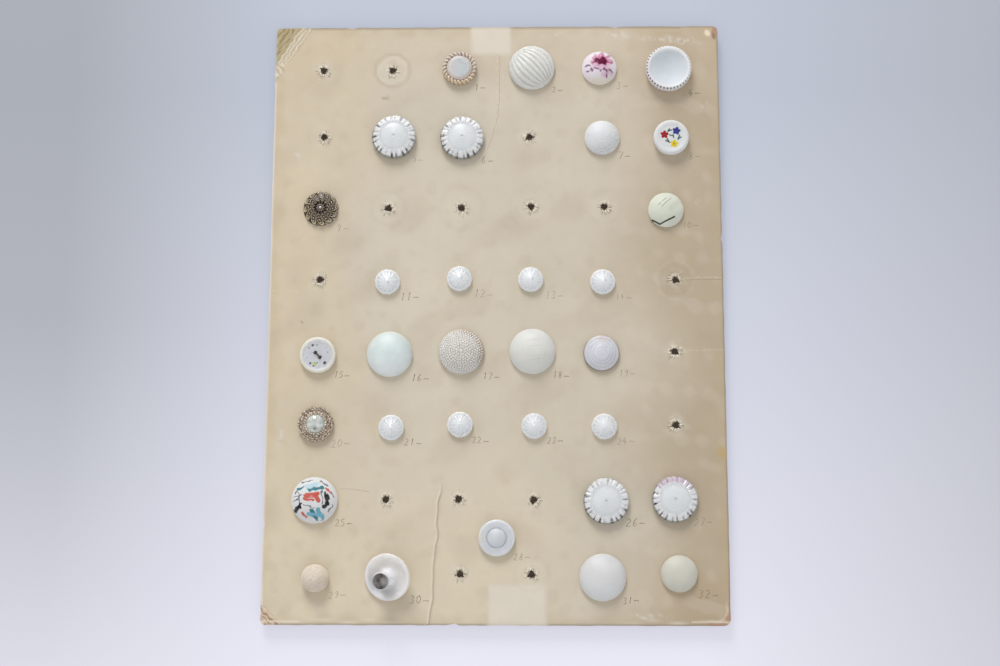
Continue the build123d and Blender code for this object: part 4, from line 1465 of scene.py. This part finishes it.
def bruised_corner(x, y, paint):
    """The corner at the top right: a pale lifted flake beside rubbed red board."""
    right = np.hypot(x - half_width, y - half_length) + 1.2 * uneven(x, y, 4, 73)
    paint.lay(0.75 * smooth(7.0, 3.0, right), (0.42, 0.24, 0.16))
    flake = blob(x, y, (half_width - 5.2, half_length - 3.8), (1.9, 2.4), 0.5, 0.5)
    paint.lay(0.9 * flake, (0.86, 0.74, 0.56))
    pit = blob(x, y, (half_width - 2.0, half_length - 5.6), (1.4, 2.6), 0.2, 0.7)
    paint.lay(0.8 * pit, (0.24, 0.13, 0.08))


def peeled_corner(x, y, paint):
    """The corner at the bottom left, which shows its plies."""
    across = x + half_width + y + half_length + 0.8 * uneven(x, y, 4, 74)
    plies = 0.5 + 0.5 * np.cos(across * TURN / 2.7)
    paint.lay(0.85 * smooth(11.0, 9.8, across) * plies, (0.26, 0.13, 0.07))
    paint.lay(0.7 * smooth(11.0, 9.8, across) * (1 - plies), (0.80, 0.62, 0.46))


def torn_corner(x, y, paint):
    """The corner at the bottom right, which has lost a narrow strip, and the split along the foot."""
    edge = edge_distance(x, y)
    corner = np.hypot(x - half_width, y + half_length)
    strip = np.maximum(2.6 - 0.33 * corner, 0) + 1.0 + 0.4 * uneven(x, y, 5, 76)
    low_right = smooth(13.0, 10.0, corner)
    paint.lay(0.85 * low_right * smooth(strip + 0.5, strip - 0.3, edge), (0.46, 0.27, 0.19))
    paint.lay(0.45 * low_right * smooth(0.7, 0.2, np.abs(edge - strip - 0.8)), (0.80, 0.66, 0.50))
    split = np.abs(y + half_length - 1.9 - 0.3 * uneven(x, y, 14, 77))
    paint.lay(0.75 * smooth(0.7, 0.2, split) * smooth(40, 80, np.abs(x - 10)), (0.80, 0.72, 0.58))


def card_marks(x, y, paint):
    """All the marks that use and age have left on the card's face."""
    for mark in (
        tape_scars, scuffs_and_spots, hole_marks, fold_and_disc,
        split_corner, bruised_corner, peeled_corner, torn_corner,
    ):
        mark(x, y, paint)
    return paint


def loop_edges(loops):
    """Edges of the loops, numbered as their points are."""
    edges = []
    start = 0
    for loop in loops:
        edges += [(start + i, start + (i + 1) % len(loop)) for i in range(len(loop))]
        start += len(loop)
    return edges


def ring_round(hole, gap, count, turn=0.0):
    """Points on a circle that lies a gap outside a hole."""
    x, y, radius, _ = hole
    return [at_angle(x, y, radius + gap, k * TURN / count + turn) for k in range(count)]


def face_spots(pitch, fine):
    """Points over one of the card's faces.

    The fine face has more of them at its corners, along the fold and round the empty holes,
    and the other has one ring round every hole.
    """
    spots = []
    for x in np.arange(-half_width + pitch, half_width - pitch / 2, pitch):
        spots += [(x, y) for y in np.arange(-half_length + pitch, half_length - pitch / 2, pitch)]
    if fine:
        corner_inset, corner_pitch, corner_rows = 0.7, 0.62, 30
        for sx, sy in ((-1, -1), (-1, 1), (1, -1), (1, 1)):
            for i in range(corner_rows):
                x = sx * (half_width - corner_inset - corner_pitch * i)
                rows = range(corner_rows)
                spots += [(x, sy * (half_length - corner_inset - corner_pitch * j)) for j in rows]
        for y in np.arange(-half_length + 1, -80, 0.7):
            spots += [(float(fold_line(np.array([y]))[0]) + 0.3 * i, y) for i in range(-4, 5)]
        for hole in HOLES:
            is_empty = hole[3]
            for gap in (0.3, 0.7, 1.1, 1.6, 2.2, 2.9, 3.6) if is_empty else ():
                spots += ring_round(hole, gap, 48 if gap < 2 else 36, gap)
    else:
        for hole in HOLES:
            spots += ring_round(hole, 1.8, 24)
    spots = np.array(spots)
    # None on the outline itself, and none outside the rounded corners
    edge_gap, rounding, inner_rounding = 0.5, 3.6, 2.7
    keep = np.abs(spots[:, 0]) < half_width - edge_gap
    keep &= np.abs(spots[:, 1]) < half_length - edge_gap
    corner_x = half_width - np.abs(spots[:, 0])
    corner_y = half_length - np.abs(spots[:, 1])
    in_corner = (corner_x < rounding) & (corner_y < rounding)
    keep &= ~(in_corner & (np.hypot(rounding - corner_x, rounding - corner_y) > inner_rounding))
    return spots[keep]


def inside_loop(spots, loop, reach):
    """True for the points that lie inside a hole's loop; none does beyond the reach from its middle."""
    middle = np.mean(loop, axis=0)
    near = np.nonzero(np.hypot(spots[:, 0] - middle[0], spots[:, 1] - middle[1]) < reach)[0]
    inside = np.zeros(len(spots), bool)
    for index in near:
        x, y = spots[index]
        hit = False
        for (ax, ay), (bx, by) in zip(loop, loop[1:] + loop[:1]):
            if (ay > y) != (by > y) and x < (bx - ax) * (y - ay) / (by - ay) + ax:
                hit = not hit
        inside[index] = hit
    return inside


def card_sheet(loops, pitch, fine):
    """Flat triangles between the card's outline and its holes; the loops' points come first."""
    hole_reach = 6
    keep_edges = 1
    same_spot = 0.0001
    spots = face_spots(pitch, fine)
    for loop in loops[1:]:
        spots = spots[~inside_loop(spots, loop, hole_reach)]
    points = [spot for loop in loops for spot in loop]
    points += [tuple(spot) for spot in spots]
    places = [Vector(spot) for spot in points]
    made = delaunay_2d_cdt(places, loop_edges(loops), [], keep_edges, same_spot)
    flat = np.array([tuple(spot) for spot in made[0]])
    triangles = np.array([tuple(face) for face in made[2]])
    middles = flat[triangles].mean(1)
    inside = np.zeros(len(triangles), bool)
    for loop in loops[1:]:
        inside |= inside_loop(middles, loop, hole_reach)
    triangles = triangles[~inside]
    a, b, c = (flat[triangles[:, k]] for k in range(3))
    flipped = (b[:, 0] - a[:, 0]) * (c[:, 1] - a[:, 1]) - (b[:, 1] - a[:, 1]) * (c[:, 0] - a[:, 0]) < 0
    triangles[flipped] = triangles[flipped][:, ::-1]
    return flat, triangles


def card():
    """The board as one closed sheet, finer round its holes and at its corners."""
    loops = [card_outline()] + [hole_outline(*hole, seed=index) for index, hole in enumerate(HOLES)]
    fine_pitch, coarse_pitch = 1.3, 6.0
    top, top_faces = card_sheet(loops, fine_pitch, True)
    under, under_faces = card_sheet(loops, coarse_pitch, False)
    count = len(top)
    points = np.vstack([
        np.column_stack([top, card_front + card_height(top[:, 0], top[:, 1])]),
        np.column_stack([under, np.full(len(under), card_back)]),
    ])
    faces = top_faces.tolist() + (under_faces[:, ::-1] + count).tolist()
    faces += [(end, start, start + count, end + count) for start, end in loop_edges(loops)]
    paint = card_marks(top[:, 0], top[:, 1], card_paint(top[:, 0], top[:, 1]))
    back_paint = card_paint(under[:, 0], under[:, 1]).lay(np.full(len(under), 0.35), (0.44, 0.36, 0.26))
    # Painted shade: the back is dark at the points round the holes and the outline, which darkens the walls
    # of the holes and the card's sides
    rim = np.arange(len(under)) < sum(len(loop) for loop in loops)
    back_paint.lay(0.6 * rim, (0.24, 0.17, 0.11))
    colours = np.vstack([paint.values, back_paint.values])
    piece = add_mesh("card_board", points, faces, board, colours, crease=50)
    place_piece(piece, "mounting_card", slot="card_board")


def paper_burrs():
    """Torn fibres that stand up round the empty holes."""
    points = []
    faces = []
    for seed, (hx, hy, radius, empty) in enumerate(HOLES):
        draw = random.Random(seed + 500)
        for _ in range(draw.randint(18, 26) if empty else 0):
            a = draw.uniform(0, TURN)
            inner = radius + draw.uniform(-0.15, 0.7)
            length = draw.uniform(0.6, 1.6) + draw.random() ** 3 * 2
            half = draw.uniform(0.2, 0.5)
            lift = draw.uniform(0.15, 0.6)
            level = card_front + 0.25
            across = (-math.sin(a) * half, math.cos(a) * half)
            out = (math.cos(a), math.sin(a))
            near = (hx + out[0] * inner, hy + out[1] * inner)
            far = (hx + out[0] * (inner + length), hy + out[1] * (inner + length) + draw.uniform(-0.3, 0.3))
            start = len(points)
            points += [
                (near[0] + across[0], near[1] + across[1], level),
                (near[0] - across[0], near[1] - across[1], level),
                (far[0], far[1], level + lift * 0.4),
                ((near[0] + far[0]) / 2, (near[1] + far[1]) / 2, level + lift),
            ]
            faces += [(start + k, start + (k + 1) % 3, start + 3) for k in range(3)]
    fibre = simple_material("torn_fibre", (0.78, 0.71, 0.59), 0.9, 0.0, 0.2, 900.0)
    place_piece(add_mesh("torn_paper_burrs", points, faces, fibre), slot="card_board")


def stroke(route, width, level=0.02):
    """Points and faces of a flat stroke along a route on the card's face."""
    points = []
    faces = []
    for index, (x, y) in enumerate(route):
        before = route[max(index - 1, 0)]
        after = route[min(index + 1, len(route) - 1)]
        dx, dy = after[0] - before[0], after[1] - before[1]
        length = math.hypot(dx, dy) or 1
        nx, ny = -dy / length * width / 2, dx / length * width / 2
        z = card_front + float(card_height(np.array([x]), np.array([y]))[0]) + level
        points += [(x + nx, y + ny, z), (x - nx, y - ny, z)]
        if index:
            faces.append((2 * index - 2, 2 * index - 1, 2 * index + 1, 2 * index))
    return points, faces


def strokes_piece(name, routes, width, material, level=0.02):
    """Many strokes as one piece."""
    points = []
    faces = []
    for route in routes:
        more, made = stroke(route, width, level)
        shift = len(points)
        points += more
        faces += [tuple(index + shift for index in face) for face in made]
    piece = add_mesh(name, points, faces, material)
    piece.visible_shadow = False
    place_piece(piece, slot="card_board")


def faint_material(name, colour, cover):
    """A mark so thin that the board's grain shows through it."""
    material, tree, shader = new_material(name)
    base = one_colour(tree, colour)
    grain = noise_node(tree, 1800.0, 3.0)
    shade = ranged(tree, grain.outputs["Fac"], 0.3, 0.7, 0.85, 1.15)
    tree.links.new(multiplied(tree, base, shade), shader.inputs["Base Color"])
    covering = ranged(tree, grain.outputs["Fac"], 0.32, 0.62, cover * 0.25, cover)
    tree.links.new(covering, shader.inputs["Alpha"])
    set_inputs(shader, {"Roughness": 0.8, "Specular IOR Level": 0.1})
    return material


# Strokes of each digit in a square of 1 by 1
DIGITS = {
    "0": [[(0.5, 1), (0.1, 0.7), (0.1, 0.3), (0.5, 0), (0.9, 0.3), (0.9, 0.7), (0.5, 1)]],
    "1": [[(0.4, 0.8), (0.6, 1), (0.5, 0)]],
    "2": [[(0.1, 0.8), (0.5, 1), (0.85, 0.7), (0.1, 0), (0.95, 0.05)]],
    "3": [[(0.1, 0.9), (0.6, 1), (0.8, 0.75), (0.4, 0.52), (0.85, 0.3), (0.5, 0), (0.05, 0.12)]],
    "4": [[(0.6, 1), (0.05, 0.35), (0.95, 0.38)], [(0.65, 0.65), (0.6, 0)]],
    "5": [[(0.85, 1), (0.2, 0.95), (0.15, 0.55), (0.7, 0.6), (0.85, 0.25), (0.5, 0), (0.05, 0.1)]],
    "6": [[(0.75, 1), (0.2, 0.6), (0.1, 0.2), (0.5, 0), (0.85, 0.25), (0.5, 0.5), (0.15, 0.3)]],
    "7": [[(0.05, 1), (0.9, 0.95), (0.4, 0)]],
    "8": [[
        (0.5, 0.52), (0.15, 0.78), (0.5, 1), (0.85, 0.78), (0.5, 0.52),
        (0.1, 0.22), (0.5, 0), (0.9, 0.22), (0.5, 0.52),
    ]],
    "9": [[(0.85, 0.75), (0.5, 0.5), (0.15, 0.75), (0.5, 1), (0.85, 0.75), (0.75, 0.3), (0.45, 0)]],
}


def button_spots():
    """Middle and radius of each button, in reading order."""
    spots = []
    for node in frame["nodes"]:
        if "button" in node and node not in ("two_hole_button_wire", "filigree_button_crystal"):
            spots.append((*node_middle(node), node_radius(node)))
    return sorted(spots, key=lambda spot: (-round(spot[1] / 18), spot[0]))


def pencil_numbers():
    """A plain running number in pencil at the lower right of each button."""
    draw = random.Random(7)
    faint = []
    bold = []
    for number, (hx, hy, radius) in enumerate(button_spots(), 1):
        tall = draw.uniform(3.0, 4.2)
        x = hx + 0.72 * radius + draw.uniform(1.2, 2.8)
        y = hy - 0.78 * radius - draw.uniform(3.6, 4.8)
        lean = draw.uniform(0.1, 0.35)
        rise = draw.uniform(-0.05, 0.12)
        target = bold if draw.random() < 0.5 else faint
        for digit in str(number):
            for line in DIGITS[digit]:
                target.append([(x + (u + lean * v) * tall * 0.55, y + v * tall) for u, v in line])
            x += tall * 0.78
            y += tall * rise
        target.append([(x + 0.4, y + tall * 0.3), (x + 1.6, y + tall * 0.36), (x + 3.0, y + tall * 0.3)])
    faint_lead = faint_material("pencil_faint", (0.28, 0.25, 0.21), 0.5)
    dark_lead = faint_material("pencil_dark", (0.20, 0.17, 0.14), 0.62)
    strokes_piece("pencil_numbers_faint", faint, 0.42, faint_lead)
    strokes_piece("pencil_numbers_dark", bold, 0.46, dark_lead)


def wandering(start, end, bend, steps, seed):
    """A slightly uneven route between two points."""
    draw = random.Random(seed)
    (ax, ay), (bx, by) = start, end
    length = math.hypot(bx - ax, by - ay)
    nx, ny = -(by - ay) / length, (bx - ax) / length
    route = []
    for step in range(steps + 1):
        share = step / steps
        out = bend * math.sin(share * math.pi) + draw.uniform(-0.22, 0.22)
        route.append((ax + (bx - ax) * share + nx * out, ay + (by - ay) * share + ny * out))
    return route


def creases():
    """Light cracks of bared fibre, and creases in the board's surface drawn as a painted highlight beside a
    dark line of painted shade.
    """
    # Start, end, bend, steps and seed of each
    light = [
        ((-80.7, 148.4), (-89.3, 131.5), 0.5, 9, 1), ((-89.5, 126.4), (-96.2, 118.7), -0.4, 6, 2),
        ((-99.5, 151.2), (-111.1, 133.9), 0.8, 10, 3), ((-103.5, 151.0), (-112.6, 140.0), -0.6, 8, 4),
        ((0.3, 137.0), (0.4, 104.9), 0.3, 12, 5), ((-113.4, 13.1), (-98.8, 13.0), 0.2, 6, 8),
        ((95.2, 19.4), (113.6, 19.6), 0.3, 8, 9), ((94.5, -17.2), (113.4, -17.0), -0.3, 8, 10),
    ]
    dark = [
        ((1.6, 137.0), (1.2, 104.0), 0.3, 12, 11), ((0.6, 104.0), (-4.7, 86.4), 0.6, 9, 12),
        ((-76.5, -86.4), (-62.0, -87.6), 0.3, 6, 13), ((-98.4, 151.6), (-110.2, 134.6), 0.6, 10, 14),
        ((95.0, 18.4), (113.0, 18.4), 0.3, 8, 15),
    ]
    # Light lines: bared fibre in the cracks, and the painted highlight on a crease's lit side. Dark lines:
    # painted shade along the creases.
    fibre_and_highlight = faint_material("bared_fibre_and_crease_highlight", (0.74, 0.67, 0.55), 0.75)
    painted_crease_shade = faint_material("crease_shade", (0.30, 0.22, 0.14), 0.42)
    for name, lines, width, finish in (
        ("board_cracks_and_crease_highlights", light, 0.32, fibre_and_highlight),
        ("board_crease_shade", dark, 0.26, painted_crease_shade),
    ):
        strokes_piece(name, [wandering(*line) for line in lines], width, finish, 0.015)


def carried_nodes():
    """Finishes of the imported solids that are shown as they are."""
    mirror_grey = (0.24, 0.22, 0.21)
    finishes = {
        "keeper_pins": simple_material("dull_pin_wire", (0.42, 0.41, 0.40), 0.35, 1.0),
        "two_hole_button_wire": simple_material("tarnished_wire", (0.10, 0.085, 0.07), 0.4, 0.8),
        "post_mirror": simple_material("foiled_mirror", mirror_grey, 0.1, 0.9, 0.9, 210.0, 0.5, 0.000002),
    }
    for node, material in finishes.items():
        mesh = frame["nodes"][node].data
        mesh.materials.clear()
        mesh.materials.append(material)


# Floor, light and camera


def floor():
    """Pale floor that keeps a soft shadow of the card; its glow is painted lighter towards the card's foot
    and dimmer to the right and the upper left, and under the card it is a dark brown painted shadow.
    """
    mesh = bpy.data.meshes.new("floor")
    reach = 4.0
    corners = [(-reach, -reach, 0), (reach, -reach, 0), (reach, reach, 0), (-reach, reach, 0)]
    mesh.from_pydata(corners, [], [(0, 1, 2, 3)])
    material, tree, shader = new_material("pale_floor")
    x, y = x_and_y(tree, "Object")
    foot = ranged(tree, y, 0.12, -0.20, 0.0, 1.0)
    pale = mixed(tree, foot, (0.245, 0.275, 0.365), (0.57, 0.56, 0.65))
    # Painted light: the glow fades to the right and to the upper left
    right = ranged(tree, x, 0.10, 0.26, 1.0, 0.62)
    left = ranged(tree, x, -0.22, -0.10, 1.0, 0.0)
    head = ranged(tree, y, -0.26, 0.0, 0.0, 1.0)
    painted_dimming = ranged(tree, combined(tree, "MULTIPLY", left, head), 0.0, 1.0, 1.0, 0.42)
    glow = multiplied(tree, multiplied(tree, pale, right), painted_dimming)
    # Painted shadow: no glow under the card, only a dark brown, so that the holes stay dark
    beyond = []
    for place, half in ((x, half_width), (y, half_length)):
        away = combined(tree, "ABSOLUTE", place)
        beyond.append(ranged(tree, away, (half - 3) * MM, (half - 1) * MM, 0.0, 1.0))
    shown = mixed(tree, combined(tree, "MAXIMUM", *beyond), (0.030, 0.019, 0.010), glow)
    tree.links.new(shown, shader.inputs["Emission Color"])
    # The glow is only seen and mirrored; it adds no light to the card
    rays = tree.nodes.new("ShaderNodeLightPath")
    seen = rays.outputs["Is Camera Ray"]
    for kind in ("Is Glossy Ray", "Is Transmission Ray"):
        seen = combined(tree, "MAXIMUM", seen, rays.outputs[kind])
    tree.links.new(seen, shader.inputs["Emission Strength"])
    set_inputs(shader, {"Base Color": (0.31, 0.315, 0.32, 1), "Roughness": 0.9, "Specular IOR Level": 0.1})
    mesh.materials.append(material)
    ground = add_object("floor", mesh)
    ground.location.z = -0.0002


def lamp(name, place, target, size, power):
    """Large square lamp that faces a point."""
    data = bpy.data.lights.new(name, "AREA")
    data.shape = "SQUARE"
    data.size = size
    data.energy = power
    made = add_object(name, data)
    made.location = place
    made.rotation_euler = (Vector(target) - Vector(place)).to_track_quat("-Z", "Y").to_euler()


def light_room():
    """Pale surroundings, lighter towards the card's foot, and one low window beyond its head."""
    world = bpy.data.worlds.new("room")
    bpy.context.scene.world = world
    world.use_nodes = True
    tree = world.node_tree
    background = tree.nodes["Background"]
    background.inputs["Color"].default_value = (0.97, 0.985, 1.0, 1)
    y = x_and_y(tree, "Generated")[1]
    tree.links.new(ranged(tree, y, 1.0, -1.0, 0.26, 1.0), background.inputs["Strength"])
    lamp("window", (-0.55, 2.6, 1.42), (0, 0, 0), 1.2, 66.0)


def camera():
    """The photograph's view, solved from the card's four corners."""
    data = bpy.data.cameras.new("camera")
    data.sensor_width = 36.0
    data.lens = 53.28
    data.clip_end = 20
    right = Vector((0.99982, 0.00221, -0.01882))
    up = Vector((0.00091, 0.98644, 0.16413))
    back = Vector((0.01893, -0.16412, 0.98626))
    made = add_object("camera", data)
    turn = Matrix((right, up, back)).transposed().to_4x4()
    place = Vector((16.23, -130.17, 730.99 + card_front)) * MM
    made.matrix_world = Matrix.Translation(place) @ turn
    bpy.context.scene.camera = made


def all_buttons():
    """Every button, from the head of the card down."""
    rope_rim_cabochon()
    melon_ribbed()
    pink_floral()
    dished_corded_rim()
    lustre_tones = ((0.30, 0.34, 0.27), (0.36, 0.28, 0.34), (0.42, 0.33, 0.35), (0.38, 0.24, 0.38))
    for number, tone in enumerate(lustre_tones, 1):
        fluted_moonglow(number, tone, 0.4 * number)
    fan_textured()
    flower_painted()
    bronze_swirl()
    creased_cream()
    for number in range(1, 9):
        daisy(number, 0.37 * number, (0.46, 0.54, 0.50) if number % 3 else (0.50, 0.48, 0.56))
    two_hole()
    mint, mint_edge = (0.68, 0.77, 0.75), (0.66, 0.70, 0.60)
    plain_dome("frosted_dome_button", mint, mint_edge, frosted, "mint_glass", 4.8, 0.5, 0.75)
    beaded_dome()
    woven_dome()
    terraced()
    filigree()
    crystal()
    brushwork()
    raised_eye()
    knotted_ball()
    mirror_post()
    white, white_edge = (0.72, 0.71, 0.71), (0.66, 0.64, 0.60)
    plain_dome("plain_white_button", white, white_edge, satin, "white_glass", 4.8, 0.0, 0.3)
    cream, cream_edge = (0.66, 0.64, 0.56), (0.62, 0.57, 0.44)
    plain_dome("plain_cream_button", cream, cream_edge, satin, "cream_glass", 3.4)


camera()
light_room()
floor()
carried_nodes()
all_buttons()
card()
paper_burrs()
pencil_numbers()
creases()

bpy.context.scene.view_settings.view_transform = "Standard"
